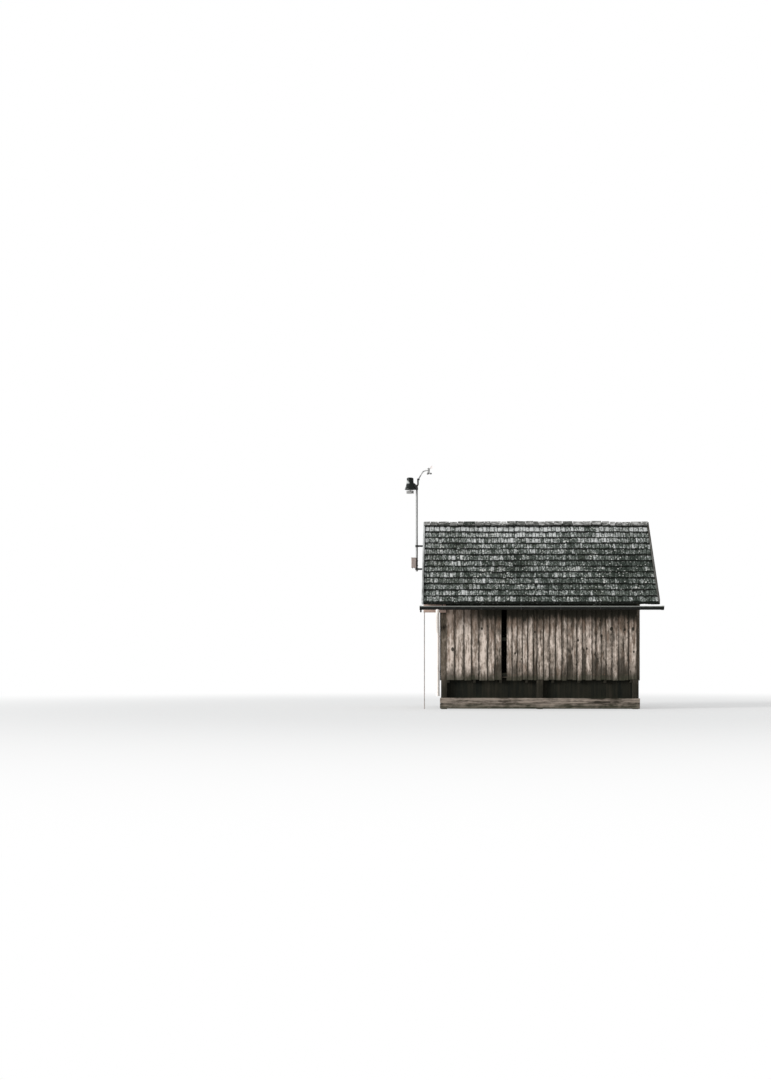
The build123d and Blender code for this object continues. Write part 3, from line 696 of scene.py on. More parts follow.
def course(blank, matrix, butt, depth, tilt, tone, rng, broad=1.0, wave=0.0):
    """One row of shingles with its butts `butt` down the slope, give or take a slow wave."""
    parts = []
    left = -roof_half
    start, long, short = rng.uniform(0, 6), rng.uniform(1.2, 2.2), rng.uniform(3.5, 6)
    while left < roof_half - 0.001:
        width = broad * rng.uniform(sizes().shingle_narrow, sizes().shingle_wide)
        if roof_half - left - width < sizes().shingle_narrow:
            width = roof_half - left
        middle = left + width / 2
        shade = tone(middle) + rng.gauss(0, 0.1)
        if rng.random() < pale_chance:
            shade += pale_by
        sway = math.sin(start + long * left) + 0.6 * math.sin(short * left)
        slip = rng.uniform(-0.007, 0.007) + wave * sway
        if rng.random() < slipped_chance:
            slip += slipped_by
        fit = moved(middle, -butt - slip, -depth + rng.uniform(-0.003, 0.001)) @ rotated(-tilt, "X")
        fit = fit @ rotated(rng.gauss(0, 0.008), "Z") @ rotated(rng.gauss(0, 0.012), "Y")
        shown = width - rng.uniform(0.002, 0.008)
        fit = fit @ scaled(shown / blank_width, 1, rng.uniform(0.8, 1.2))
        parts.append(placed_copy(blank, matrix @ fit, clamp(shade), rng.random()))
        left += width
    return parts


class HUT_OT_shingles(bpy.types.Operator):
    """Courses of split shingles on both slopes"""
    bl_idname = "hut.shingles"
    bl_label = "Shingles"

    def execute(self, context):
        rng = random.Random(47)
        settings = sizes()
        slope = eave_run / math.cos(settings.roof_pitch)
        step = exposure()
        blank = shingle_blank(step * 1.3)
        under = shingle_blank(step, hidden=True)
        tilt = math.atan(settings.course_step / step)
        for side in ("front", "back"):
            matrix = slope_frame(side == "back")
            parts = []
            for row in range(1, settings.course_count + 1):
                butt = ridge_foot() + row * step + rng.uniform(-0.006, 0.006)
                parts += course(blank, matrix, butt, 0.002, tilt, lambda x: self.tone_at(x, row), rng,
                                broad=1.5 if row == 1 else 1.0, wave=0.005)
            # Two black starter courses: painted shade at the eave
            for layer in (1, 2):
                parts += course(under, matrix, slope - 0.006 * layer, 0.006 + layer * 0.0145, 0.01,
                                lambda x: 0.0, rng)
            piece = joined(side + "_shingle_courses", parts)
            finish_piece(piece, split_shingles(), "shingles", side + "_shingles")
        discard(blank, under)
        return {"FINISHED"}

    def tone_at(self, x, row):
        """Tone of a course at a place along the roof, which darkens to the right."""
        tone = first_course_tones[row - 1] if row <= len(first_course_tones) else course_tone
        tone -= 0.028 * (x + 1.0)
        for middle, number, half, rows, change in roof_patches:
            away = math.hypot((x - middle) / half, (row - number) / rows)
            tone += change * clamp(1.6 - away)
        return tone


class HUT_OT_ridge_boards(bpy.types.Operator):
    """Short boards along both sides of the ridge"""
    bl_idname = "hut.ridge_boards"
    bl_label = "Ridge Boards"

    def execute(self, context):
        rng = random.Random(59)
        leg = sizes().ridge_leg
        usual = sizes().ridge_length
        blank = add_box("ridge board", (-0.5, -leg, 0), (0.5, 0, ridge_board_thickness))
        with editing(blank, "EDGE", lambda a, b: abs(a.x - b.x) > 0.5):
            bpy.ops.mesh.subdivide(number_cuts=3)
        mark(blank, "across", lambda co: 2 * co.x)
        mark(blank, "reach", lambda co: co.y + leg)
        end = roof_half + 0.03
        parts = []
        for back, rise in ((False, sizes().ridge_rise), (True, 0.0)):
            matrix = slope_frame(back)
            left = -end
            while left < end - 0.001:
                length = usual * rng.uniform(0.6, 1.3)
                if end - left - length < usual / 2:
                    length = end - left
                fit = moved(left + length / 2, rise - rng.uniform(0, 0.03), rng.uniform(0.001, 0.014))
                fit = fit @ rotated(rng.gauss(0, 0.02), "Z") @ rotated(rng.gauss(0, 0.014), "Y")
                fit = fit @ scaled(length - rng.uniform(0.002, 0.024), 1, 1)
                tone = clamp(rng.gauss(0.52 + 0.05 * left, 0.12))
                parts.append(placed_copy(blank, matrix @ fit, tone, rng.random()))
                left += length
        piece = joined("ridge_boards", parts)
        round_edges(piece, width=0.003, segments=2)
        finish_piece(piece, ridge_wood(), "shingles", "ridge_cap")
        discard(blank)
        return {"FINISHED"}


# Posts and beams

def worn_copy(node, arris):
    """Copy of a CAD node with whole flat faces again and its edges worn round."""
    piece = added("worn_" + node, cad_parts[node].data.copy())
    piece.data.name = piece.name
    with editing(piece):
        bpy.ops.mesh.customdata_custom_splitnormals_clear()
        bpy.ops.mesh.remove_doubles(threshold=0.0002)
        bpy.ops.mesh.dissolve_limited(angle_limit=math.radians(1))
        bpy.ops.mesh.select_all(action="DESELECT")
        bpy.ops.mesh.select_interior_faces()
        bpy.ops.mesh.delete(type="FACE")
        bpy.ops.mesh.select_all(action="SELECT")
        bpy.ops.mesh.normals_make_consistent(inside=False)
    round_edges(piece, width=arris, segments=2, angle=30)
    pick(piece)
    bpy.ops.object.shade_smooth_by_angle(angle=math.radians(40))
    return piece


class HUT_OT_frame(bpy.types.Operator):
    """Posts, plates, beams, rafters and edge boards with worn edges"""
    bl_idname = "hut.frame"
    bl_label = "Posts and Beams"

    def execute(self, context):
        upright = ("corner_posts", "middle_posts", "ridge_posts", "centre_pile")
        lengthwise = ("wall_plates", "ridge_beam", "floor_bearers")
        arris = sizes().arris
        for nodes, *grain in (
            (upright, "Z", 40, 1.2), (lengthwise, "X", 30), (["floor_joists"], "Y", 2),
            # The rails are nearly black: painted shade of the hut's dark inside
            (["wall_rails"], "X", 20, 0.0, True), (("front_rafters", "back_rafters"), "slope", 8),
        ):
            for node in nodes:
                finish_piece(worn_copy(node, arris), frame_timber(*grain), "frame_timber", node)
        for node, wood, slot in (
            # The left edge boards are painted pale as if in sun, the right ones dark as if in shade
            ("left_barge_boards", edge_board_with_painted_light("Pale", 0.78), "pale_boards"),
            ("right_barge_boards", edge_board_with_painted_light("Dark", 0.26), "frame_timber"),
            ("outrigger", fresh_timber(), "fresh_timber"),
        ):
            finish_piece(worn_copy(node, arris / 2), wood, slot, node)
        return {"FINISHED"}


class HUT_OT_tie_planks(bpy.types.Operator):
    """Low planks between the legs, in two rows on each long side"""
    bl_idname = "hut.tie_planks"
    bl_label = "Tie Planks"

    def execute(self, context):
        rng = random.Random(71)
        low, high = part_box("tie_planks")
        blank = board_blank(tie_plank_thickness, 23)
        upright = Matrix(((0, 0, 1, 0), (0, 1, 0, 0), (1, 0, 0, 0), (0, 0, 0, 1)))
        boards = [Board(bottom, top, low.x, high.x, lift=0.001, waney=0.35)
                  for bottom, top in tie_plank_rows]
        parts = []
        for turn in (0, math.pi):
            side = rotated(turn, "Z") @ moved(0, -floor_high.y, 0) @ upright
            parts.append(board_set("tie", blank, boards, side, rng))
        finish_piece(joined("tie_plank_rows", parts), waterline_planks(), "wall_boards", "tie_planks")
        discard(blank)
        return {"FINISHED"}


# Shader nodes

def sum_method(operation, swapped=False):
    """Method that adds a Math node to the tree of the value that it belongs to."""
    def add_node(self, *others):
        values = (self, *others)
        return self.tree.math(operation, *(reversed(values) if swapped else values))
    return add_node


class Value:
    """Output of a shader node. Sums with it add Math nodes to its tree."""

    def __init__(self, tree, socket):
        self.tree = tree
        self.socket = socket

    __add__ = sum_method("ADD")
    __radd__ = sum_method("ADD", swapped=True)
    __sub__ = sum_method("SUBTRACT")
    __rsub__ = sum_method("SUBTRACT", swapped=True)
    __mul__ = sum_method("MULTIPLY")
    __truediv__ = sum_method("DIVIDE")
    __abs__ = sum_method("ABSOLUTE")


class Tree:
    """Adds and links shader nodes in one node tree."""

    def __init__(self, tree):
        self.nodes = tree.nodes
        self.links = tree.links

    def node(self, kind, values=None, **settings):
        node = self.nodes.new(kind)
        for key, value in settings.items():
            setattr(node, key, value)
        self.fill(node, values or {})
        return node

    def fill(self, node, values):
        """Gives inputs of a node their values, or links them to other nodes' outputs."""
        for key, value in values.items():
            if isinstance(value, Value):
                self.links.new(value.socket, node.inputs[key])
            else:
                node.inputs[key].default_value = value

    def output(self, node, number=0):
        return Value(self, node.outputs[number])

    def outputs(self, *given, **settings):
        """A new node's outputs by their names, in small letters with underscores."""
        node = self.node(*given, **settings)
        return SimpleNamespace(**{
            socket.name.lower().replace(" ", "_"): Value(self, socket) for socket in node.outputs})

    def math(self, operation, *values, clamped=False):
        return self.output(self.node("ShaderNodeMath", dict(enumerate(values)),
                                     operation=operation, use_clamp=clamped))

    def greater(self, first, second):
        return self.math("MAXIMUM", first, second)

    def vector(self, operation, *values):
        found = self.outputs("ShaderNodeVectorMath", dict(enumerate(values)), operation=operation)
        return found.value if operation in ("DOT_PRODUCT", "LENGTH") else found.vector

    def squeezed(self, vector, share):
        """The vector with its Z made less, which draws a pattern out along Z."""
        return self.vector("MULTIPLY", vector, (1, 1, share))

    def split(self, vector):
        return self.outputs("ShaderNodeSeparateXYZ", {"Vector": vector})

    def join(self, x, y, z):
        return self.output(self.node("ShaderNodeCombineXYZ", {"X": x, "Y": y, "Z": z}))

    def mix(self, factor, low, high):
        return self.output(self.node("ShaderNodeMix", {0: factor, 6: low, 7: high}, data_type="RGBA"), 2)

    def blend(self, factor, first, second):
        """Mix of the shaders that two nodes put out."""
        return self.output(self.node("ShaderNodeMixShader", {
            0: factor, 1: self.output(first), 2: self.output(second)}))

    def step(self, value, low, high):
        """0 at `low`, 1 at `high` and smooth between them."""
        return self.output(self.node(
            "ShaderNodeMapRange", {"Value": value, "From Min": low, "From Max": high},
            interpolation_type="SMOOTHSTEP"))

    def noise(self, vector, scale, detail=2.0, seed=None):
        values = {"Vector": vector, "Scale": scale, "Detail": detail}
        if seed is not None:
            values["W"] = seed
        kind = "3D" if seed is None else "4D"
        return self.outputs("ShaderNodeTexNoise", values, noise_dimensions=kind).fac

    def cells(self, vector, scale):
        return self.outputs("ShaderNodeTexVoronoi", {"Vector": vector, "Scale": scale})

    def group(self, group, **values):
        """Places a node group and gives its outputs."""
        named = {socket_name(key): value for key, value in values.items()}
        return self.outputs("ShaderNodeGroup", named, node_tree=group())


def socket_name(key):
    """Name of a group's socket, with capitals and spaces, from its key in this script."""
    return key.replace("_", " ").title()


def shared(name, outputs, **inputs):
    """Lets a function that draws a node group give the group, drawn the first time."""
    def wrap(draw):
        def give():
            if name in bpy.data.node_groups:
                return bpy.data.node_groups[name]
            group = bpy.data.node_groups.new(name, "ShaderNodeTree")
            for key, default in inputs.items():
                kind = {3: "Vector", 4: "Color"}[len(default)] if isinstance(default, tuple) else "Float"
                socket = group.interface.new_socket(
                    socket_name(key), in_out="INPUT", socket_type="NodeSocket" + kind)
                socket.default_value = default
            for key in outputs:
                kind = "Color" if key == "color" else "Float"
                group.interface.new_socket(
                    socket_name(key), in_out="OUTPUT", socket_type="NodeSocket" + kind)
            tree = Tree(group)
            drawn = draw(tree, tree.outputs("NodeGroupInput"))
            tree.node("NodeGroupOutput", {socket_name(key): value for key, value in zip(outputs, drawn)})
            return group
        return give
    return wrap


def finish(name):
    """Lets a function that draws a material give the material, drawn the first time.

    The name may have places for the values that the function is given.
    """
    def wrap(draw):
        def give(*values):
            full_name = name.format(*values)
            if full_name in bpy.data.materials:
                return bpy.data.materials[full_name]
            material = bpy.data.materials.new(full_name)
            material.use_nodes = True
            draw(MaterialTree(material), *values)
            return material
        return give
    return wrap


@shared("Aged Wood", ("color", "roughness", "height"),
        vector=(0, 0, 0), seed=0.5, tone=0.5, contrast=1.0, streak_scale=16.0, stretch=0.05, mottle=0.0,
        dark=(0.2, 0.2, 0.2, 1), middle=(0.2, 0.2, 0.2, 1), pale=(0.2, 0.2, 0.2, 1))
def aged_wood(tree, given):
    """Wood with fine fibres, broad streaks and patches; the grain runs along Z."""
    along = tree.vector("MULTIPLY", given.vector, tree.join(1.0, 1.0, given.stretch))
    shift = given.seed * 40.0
    streak = tree.noise(along, given.streak_scale, 3.0, shift)
    fibre = tree.noise(along, given.streak_scale * 7.0, 3.0, shift)
    patch = tree.noise(given.vector, 2.6, 3.0, shift)
    blot = tree.noise(tree.squeezed(given.vector, 0.45), 24.0, 3.0, shift)
    swing = (streak - 0.5) * 1.5 + (fibre - 0.5) * 0.7 + (patch - 0.5) * 0.9
    value = given.tone + (swing + (blot - 0.5) * given.mottle) * given.contrast
    low = tree.mix(tree.step(value, 0.0, 0.5), given.dark, given.middle)
    colour = tree.mix(tree.step(value, 0.45, 1.0), low, given.pale)
    return colour, 0.72 + fibre * 0.2, fibre * 0.5 + streak * 0.5


@shared("Dark Edges", ["mask"], vector=(0, 0, 0), across=0.0, start=0.75, raggedness=0.3)
def dark_edges(tree, given):
    """Mask of the dirty edges of a board or shingle, with a ragged line."""
    wobble = tree.noise(tree.squeezed(given.vector, 0.45), 18.0, 4.0) - 0.5
    side = abs(given.across) + wobble * given.raggedness
    return [tree.step(side, given.start, given.start + 0.25)]


@shared("Foot Stain", ["mask"], vector=(0, 0, 0), low=0.6, high=1.0, ragged=0.5, seed=0.5)
def foot_stain(tree, given):
    """Mask that is 1 low down and fades out upwards with a ragged, streaky edge."""
    wobble = tree.noise(tree.squeezed(given.vector, 0.25), 7.0, 3.0, given.seed * 9.0) - 0.5
    height = tree.split(given.vector).z + wobble * given.ragged
    return [1.0 - tree.step(height, given.low, given.high)]


@shared("Knots", ["mask", "ring"], vector=(0, 0, 0), seed=0.5, radius=0.022)
def small_knots(tree, given):
    """Mask of round knots, left out at random, and of a ring round each."""
    shift = tree.join(given.seed * 5.0, 0.0, given.seed * 17.0)
    per_metre = 4.2
    cells = tree.cells(tree.squeezed(tree.vector("ADD", given.vector, shift), 0.7), per_metre)
    reach = cells.distance / per_metre
    kept = tree.math("GREATER_THAN", tree.split(cells.color).x, 0.6)
    spot = 1.0 - tree.step(reach, given.radius * 0.45, given.radius)
    halo = 1.0 - tree.step(reach, given.radius, given.radius * 2.2)
    return spot * kept, halo * kept


@shared("Speckle", ["mask"], vector=(0, 0, 0), scale=30.0, amount=0.3)
def speckle(tree, given):
    """Mask of small irregular spots that gather in some places."""
    edge = tree.cells(given.vector, given.scale).distance + tree.noise(given.vector, 90.0) * 0.35
    size = (tree.noise(given.vector, 3.0, 3.0) + given.amount - 0.5) * 0.9
    return [1.0 - tree.step(edge, size, size + 0.12)]


@shared("Sheet Wear", ("color", "roughness", "height"),
        vector=(0, 0, 0), clean=(0.5, 0.5, 0.5, 1), worn=(0.2, 0.2, 0.2, 1), amount=0.5)
def sheet_wear(tree, given):
    """Cloudy tarnish with streaks that run down, for sheet and tube."""
    blotch = tree.noise(given.vector, 9.0, 4.0)
    running = tree.noise(tree.squeezed(given.vector, 0.06), 55.0, 3.0)
    speck = tree.noise(given.vector, 140.0)
    level = 0.85 - given.amount * 0.5
    mask = tree.step(blotch * 0.55 + running * 0.45, level - 0.22, level)
    return tree.mix(mask, given.clean, given.worn), 0.42 + mask * 0.35, speck * 0.6 + blotch


# Materials of the wooden pieces

class MaterialTree(Tree):
    """Node tree of one material, with its shader, its colours and the place on the piece."""

    def __init__(self, material):
        super().__init__(material.node_tree)
        self.shader = self.nodes["Principled BSDF"]
        self.where = self.outputs("ShaderNodeTexCoord").object
        self.tints = colours()

    def carried(self, name):
        """A value that each board or shingle carries."""
        return self.outputs("ShaderNodeAttribute", attribute_name=name).fac

    def stain(self, low, high, ragged, seed):
        return self.group(
            foot_stain, vector=self.where, low=low, high=high, ragged=ragged, seed=seed).mask

    def spots(self, scale, amount, squeeze=1.0):
        where = self.where if squeeze == 1.0 else self.squeezed(self.where, squeeze)
        return self.group(speckle, vector=where, scale=scale, amount=amount).mask

    def dirty_edges(self, start, raggedness):
        return self.group(dark_edges, vector=self.where, across=self.carried("across"), start=start,
                          raggedness=raggedness).mask

    def raised(self, height, strength, distance):
        """Normal of a surface that stands up with `height`."""
        return self.outputs("ShaderNodeBump", {
            "Height": height, "Strength": strength, "Distance": distance}).normal

    def turned(self, along):
        """The place with its Z along the grain."""
        at = self.split(self.where)
        if along == "X":
            return self.join(at.y, at.z, at.x)
        if along == "Y":
            return self.join(at.x, at.z, at.y)
        if along == "slope":
            pitch = sizes().roof_pitch
            side = self.join(at.x, abs(at.y), at.z)
            down = self.vector("DOT_PRODUCT", side, (0, math.cos(pitch), -math.sin(pitch)))
            out = self.vector("DOT_PRODUCT", side, (0, math.sin(pitch), math.cos(pitch)))
            return self.join(at.x, out, down)
        return self.where

    def dry_wood(self, palette, *stains_and_shade, along="Z", strength=0.6, distance=0.004, **settings):
        """Dull wood with raised grain, in a dark, a middle and a pale colour.

        The stains and painted shade over it are (mask, colour). Boards carry their seed and tone unless
        it is given.
        """
        for key in {"seed", "tone"} - set(settings):
            settings[key] = self.carried(key)
        dark, middle, pale = palette
        wood = self.group(aged_wood, vector=self.turned(along), dark=dark, middle=middle, pale=pale,
                          **settings)
        colour = wood.color
        for mask, stain in stains_and_shade:
            colour = self.mix(mask, colour, stain)
        self.fill(self.shader, {
            "Base Color": colour, "Roughness": wood.roughness, "Specular IOR Level": 0.12,
            "Normal": self.raised(wood.height, strength, distance)})

    def tarnished(self, clean, worn, amount):
        return self.group(sheet_wear, vector=self.where, clean=clean, worn=worn, amount=amount)


def below_roof(tree):
    """How far below the roof's line a point of a wall is, and a mask of the two long walls."""
    at = tree.split(tree.where)
    side = abs(at.y)
    long_wall = tree.step(side, *long_wall_step)
    line = gable_high.z - side * math.tan(sizes().roof_pitch)
    return line - at.z - long_wall * eave_drop, long_wall


def painted_eave_shadow(tree, seed):
    """Mask of painted shadow under the roof: a brown-black band, partly wood that the roof keeps from
    bleaching, with streaks below it.

    It is deep under the eaves, shallow under the gables' edges and fades out at the left end, where the
    light reaches in. Above the gutter the tops of the long walls are all painted shade.
    """
    at = tree.split(tree.where)
    below, long_wall = below_roof(tree)
    wobble = tree.noise(tree.squeezed(tree.where, 0.3), 15.0, 4.0, seed * 9.0) - 0.5
    band = tree.step(below + wobble * 0.5, 0.39, 0.12)
    streaks = tree.step(below + wobble * 2.1, 0.66, 0.1)
    kept = tree.greater(tree.step(at.x, -2.1, -1.2), (1.0 - long_wall) * 0.9)
    # Painted shade on the long walls' tops that show between the gutter and the shingles
    above_gutter = long_wall * tree.step(at.z, 2.31, 2.36)
    return tree.greater(kept * tree.greater(band * 0.97, streaks * 0.6), above_gutter)


def large_knot_mask(tree):
    """Mask of the front wall's large knots."""
    at = tree.split(tree.where)
    ragged = (tree.noise(tree.where, 60.0) - 0.5) * 0.012
    dots = []
    for middle, height, radius in large_knots:
        away = tree.vector("LENGTH", tree.join(at.x - middle, (at.z - height) * 0.75, ragged))
        dots.append(tree.step(away, radius, radius * 0.6))
    return reduce(tree.greater, dots) * tree.math("LESS_THAN", at.y, -1.47)


@finish("Silvered Boards")
def silvered_boards(tree):
    """Boards of the walls: each its own tone, knots, and a dark damp foot."""
    tints = tree.tints
    at = tree.split(tree.where)
    seed, tone = tree.carried("seed"), tree.carried("tone")
    crown = (0.5 - abs(tree.carried("across"))) * 0.1
    lower = tree.step(at.z, 1.6, 0.7) * 0.14
    raw = tree.noise(tree.squeezed(tree.where, 0.25), 13.0, 3.0, seed * 21.0)
    raw = tree.step(raw + tree.step(below_roof(tree)[0], 0.72, 0.07) * 0.24, 0.5, 0.68)
    knots = tree.group(small_knots, vector=tree.where, seed=seed, radius=0.024)
    to_the_right = 0.15 + tree.step(at.x, -0.4, 1.0) * 0.3
    rise = tree.math("SUBTRACT", 0.62, tone, clamped=True) * 1.5
    tree.dry_wood(
        (tints.board_dark, tints.board_mid, tints.board_pale),
        (raw * 0.6, tints.board_brown),
        (knots.ring * 0.45, tints.board_mid),
        (knots.mask * 0.9, tints.board_dark),
        (tree.spots(17.0, 0.29, squeeze=0.6) * to_the_right, tints.board_dark),
        (tree.stain(rise + 0.62, rise + 1.04, 0.9, seed) * 0.84, tints.board_dark),
        (tree.dirty_edges(0.68, 0.9) * 0.68, tints.board_dark),
        (large_knot_mask(tree) * 0.92, tints.shade_and_stain_brown),
        # Painted shade under the eaves and above the gutter, partly unbleached wood
        (painted_eave_shadow(tree, seed), tints.shade_and_stain_brown),
        (tree.stain(0.66, 0.86, 0.3, 0.2) * 0.5, tints.moss),
        seed=seed, tone=tone + crown - lower, contrast=1.2, mottle=1.1, streak_scale=24.0, stretch=0.09)


def painted_lap_shadow(tree):
    """Mask of the dark butt edge, partly wet wood and partly painted shade, and of the strip right under
    the next course: painted shadow, partly dirt.
    """
    wobble = tree.noise(tree.where, 45.0, 3.0) - 0.5
    reach = tree.carried("reach") + wobble * 0.012
    butt = 1.0 - tree.step(reach, 0.0, 0.012)
    broken = tree.step(tree.noise(tree.where, 9.0), 0.6, 0.35) * 0.035
    head = tree.step(reach + broken, exposure() - 0.04, exposure() - 0.008)
    return tree.greater(butt, head) * 0.91


@finish("Split Shingles")
def split_shingles(tree):
    """Grey-green split shingles with lichen, dark in the laps with painted shadow and dirt."""
    tints = tree.tints
    growth = tree.step(tree.noise(tree.where, 1.7, 4.0), 0.52, 0.7)
    tree.dry_wood(
        (tints.shingle_dark, tints.shingle_mid, tints.shingle_pale),
        (tree.spots(14.0, 0.35) * 0.85, tints.lichen),
        (growth * 0.45, tints.moss),
        (tree.dirty_edges(0.72, 0.5) * 0.8, tints.shingle_dark),
        (painted_lap_shadow(tree), tints.lap_shade_and_dirt),
        along="slope", strength=0.7, contrast=1.55, streak_scale=42.0, stretch=0.36)


@finish("Ridge Boards")
def ridge_wood(tree):
    """Grey-brown ridge boards with the grain along the ridge, black at their lower ends: a painted
    shadow.
    """
    tints = tree.tints
    # Painted shadow at the lower ends of the ridge boards
    butt = tree.step(tree.carried("reach"), 0.036, 0.016)
    tree.dry_wood(
        (tints.shingle_dark, tints.ridge_mid, tints.ridge_pale),
        (tree.spots(20.0, 0.32) * 0.7, tints.lichen), (butt * 0.8, tints.lap_shade_and_dirt),
        along="X", contrast=1.5, streak_scale=26.0, stretch=0.4)


@finish("Frame Timber {0} {1}")
def frame_timber(tree, along, percent, mottle=0.0, painted_inside_shade=False):
    """Dark frame timber, `percent` pale, with the grain along its length, darker near the ground from
    damp and painted shade under the floor; for the rails nearly black, painted shade of the hut's dark
    inside.
    """
    tints = tree.tints
    palette = (tints.timber_dark, tints.timber_mid, tints.timber_pale)
    # Rails seen through the missing board: nearly black, painted shade of the hut's inside
    if painted_inside_shade:
        palette = (tints.lap_shade_and_dirt, tints.shade_and_stain_brown, tints.timber_dark)
    # The stain low down is damp and, on the timbers under the floor, painted shade
    tree.dry_wood(
        palette, (tree.stain(0.5, 0.95, 0.25, 0.6) * 0.88, tints.shade_and_stain_brown),
        (tree.stain(0.12, 0.3, 0.12, 0.1) * 0.7, tints.moss), along=along,
        seed=0.37, tone=percent / 100, contrast=0.9, mottle=mottle, streak_scale=18.0, stretch=0.05)


@finish("Skirt Boards")
def damp_and_painted_shade_boards(tree):
    """Nearly black boards: painted shade of the space under the floor, partly wood that stays damp in
    the shade.
    """
    tints = tree.tints
    tree.dry_wood(
        (tints.lap_shade_and_dirt, tints.shade_and_stain_brown, tints.timber_dark),
        (tree.stain(0.1, 0.34, 0.2, 0.1) * 0.7, tints.moss),
        contrast=0.9, streak_scale=18.0, stretch=0.06)


@finish("Tie Planks")
def waterline_planks(tree):
    """Grey planks near the waterline with green at their foot."""
    tints = tree.tints
    tree.dry_wood(
        (tints.timber_dark, tints.board_mid, tints.board_pale),
        (tree.stain(0.0, 0.16, 0.16, 0.1) * 0.7, tints.moss), along="X", strength=0.7, distance=0.005,
        tone=0.26, contrast=0.9, mottle=0.6, streak_scale=20.0, stretch=0.06)


@finish("{0} Edge Board")
def edge_board_with_painted_light(tree, shade, tone):
    """Edge board of the roof, `shade` by name, with the grain down the slope; its tone is painted light,
    pale in sun and dark in shade.
    """
    tints = tree.tints
    tree.dry_wood(
        (tints.timber_dark, tints.ridge_mid, tints.shingle_pale), along="slope", strength=0.5,
        distance=0.003, seed=tone, tone=tone, contrast=0.9, streak_scale=20.0, stretch=0.05)


@finish("Fresh Timber")
def fresh_timber(tree):
    """The outrigger's pinkish, little weathered wood."""
    tints = tree.tints
    tree.dry_wood(
        (tints.timber_mid, tints.board_mid, tints.fresh_timber), along="X", strength=0.4,
        distance=0.003, seed=0.8, tone=0.8, contrast=0.6, streak_scale=24.0, stretch=0.05)


# Materials of the metal pieces and casings

@finish("{0}")
def metal(tree, name, clean, worn, amount, metallic=0.0, coat=0.0):
    """Sheet, tube or casing with tarnish, under its own name."""
    wear = tree.tarnished(clean, worn, amount)
    tree.fill(tree.shader, {
        "Base Color": wear.color, "Roughness": wear.roughness, "Metallic": metallic,
        "Coat Weight": coat, "Normal": tree.raised(wear.height, 0.25, 0.002)})


@finish("Gutter Sheet")
def dark_gutter(tree):
    """Dark sheet with a paler lip: painted highlight along the bead, partly wear."""
    sheet = tree.tints.gutter_sheet
    wear = tree.tarnished(sheet, tuple(0.5 * part for part in sheet[:3]) + (1,), 0.5)
    height = tree.split(tree.where).z + tree.noise(tree.where, 14.0, 3.0) * 0.012
    rim = gutter_top - 0.016
    # Paler lip: painted highlight on the bead, partly wear
    lip_highlight_and_wear = tree.step(height, rim - 0.009, rim + 0.001)
    tree.fill(tree.shader, {
        "Base Color": tree.mix(lip_highlight_and_wear * 0.9, wear.color, tree.tints.gutter_rim),
        "Roughness": wear.roughness, "Specular IOR Level": 0.25,
        "Normal": tree.raised(wear.height, 0.3, 0.002)})


@finish("Dark Casing")
def hood_with_painted_highlight(tree):
    """Black-green casing with a painted highlight, pale and patchy, high on its left side, and paler
    painted light down its left edge.
    """
    low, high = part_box("sensor_hood")
    middle = (low + high) / 2
    wear = tree.tarnished(tree.tints.dark_casing, tree.tints.dark_steel, 0.3)
    at = tree.split(tree.where)
    # Painted highlight on the left of the hood, high up, and paler painted light down its left edge
    wobble = (tree.noise(tree.where, 16.0, 3.0) - 0.5) * 0.5
    left = (middle.x - at.x) / 0.13 + wobble
    side = tree.step(left - (at.z - middle.z) * 6.3, -0.1, 0.2)
    upper = tree.step(at.z, middle.z - 0.02, middle.z + 0.025)
    crown = tree.step(at.z + wobble * 0.12, high.z - 0.025, high.z - 0.065)
    flare = tree.step(left, 0.62, 1.0) * 0.45
    patchiness = tree.step(tree.noise(tree.squeezed(tree.where, 0.4), 55.0, 3.0), 0.3, 0.55)
    painted_highlight = tree.greater(side * upper * crown, flare) * (0.4 + patchiness * 0.6)
    tree.fill(tree.shader, {
        "Base Color": tree.mix(painted_highlight * 0.85, wear.color, (0.6, 0.62, 0.6, 1)),
        "Roughness": 0.4 + painted_highlight * 0.4, "Specular IOR Level": 0.15,
        "Normal": tree.raised(wear.height, 0.25, 0.002)})


@finish("Wind Vane")
def pale_vane(tree):
    """Pale tail that turns dark grey towards the spindle."""
    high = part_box("wind_vane")[1]
    wear = tree.tarnished(tree.tints.pale_casing, tree.tints.grey_casing, 0.2)
    near = tree.step(tree.split(tree.where).x, high.x - 0.035, high.x - 0.07)
    tree.fill(tree.shader, {
        "Base Color": tree.mix(near, wear.color, tree.tints.galvanised), "Roughness": wear.roughness})


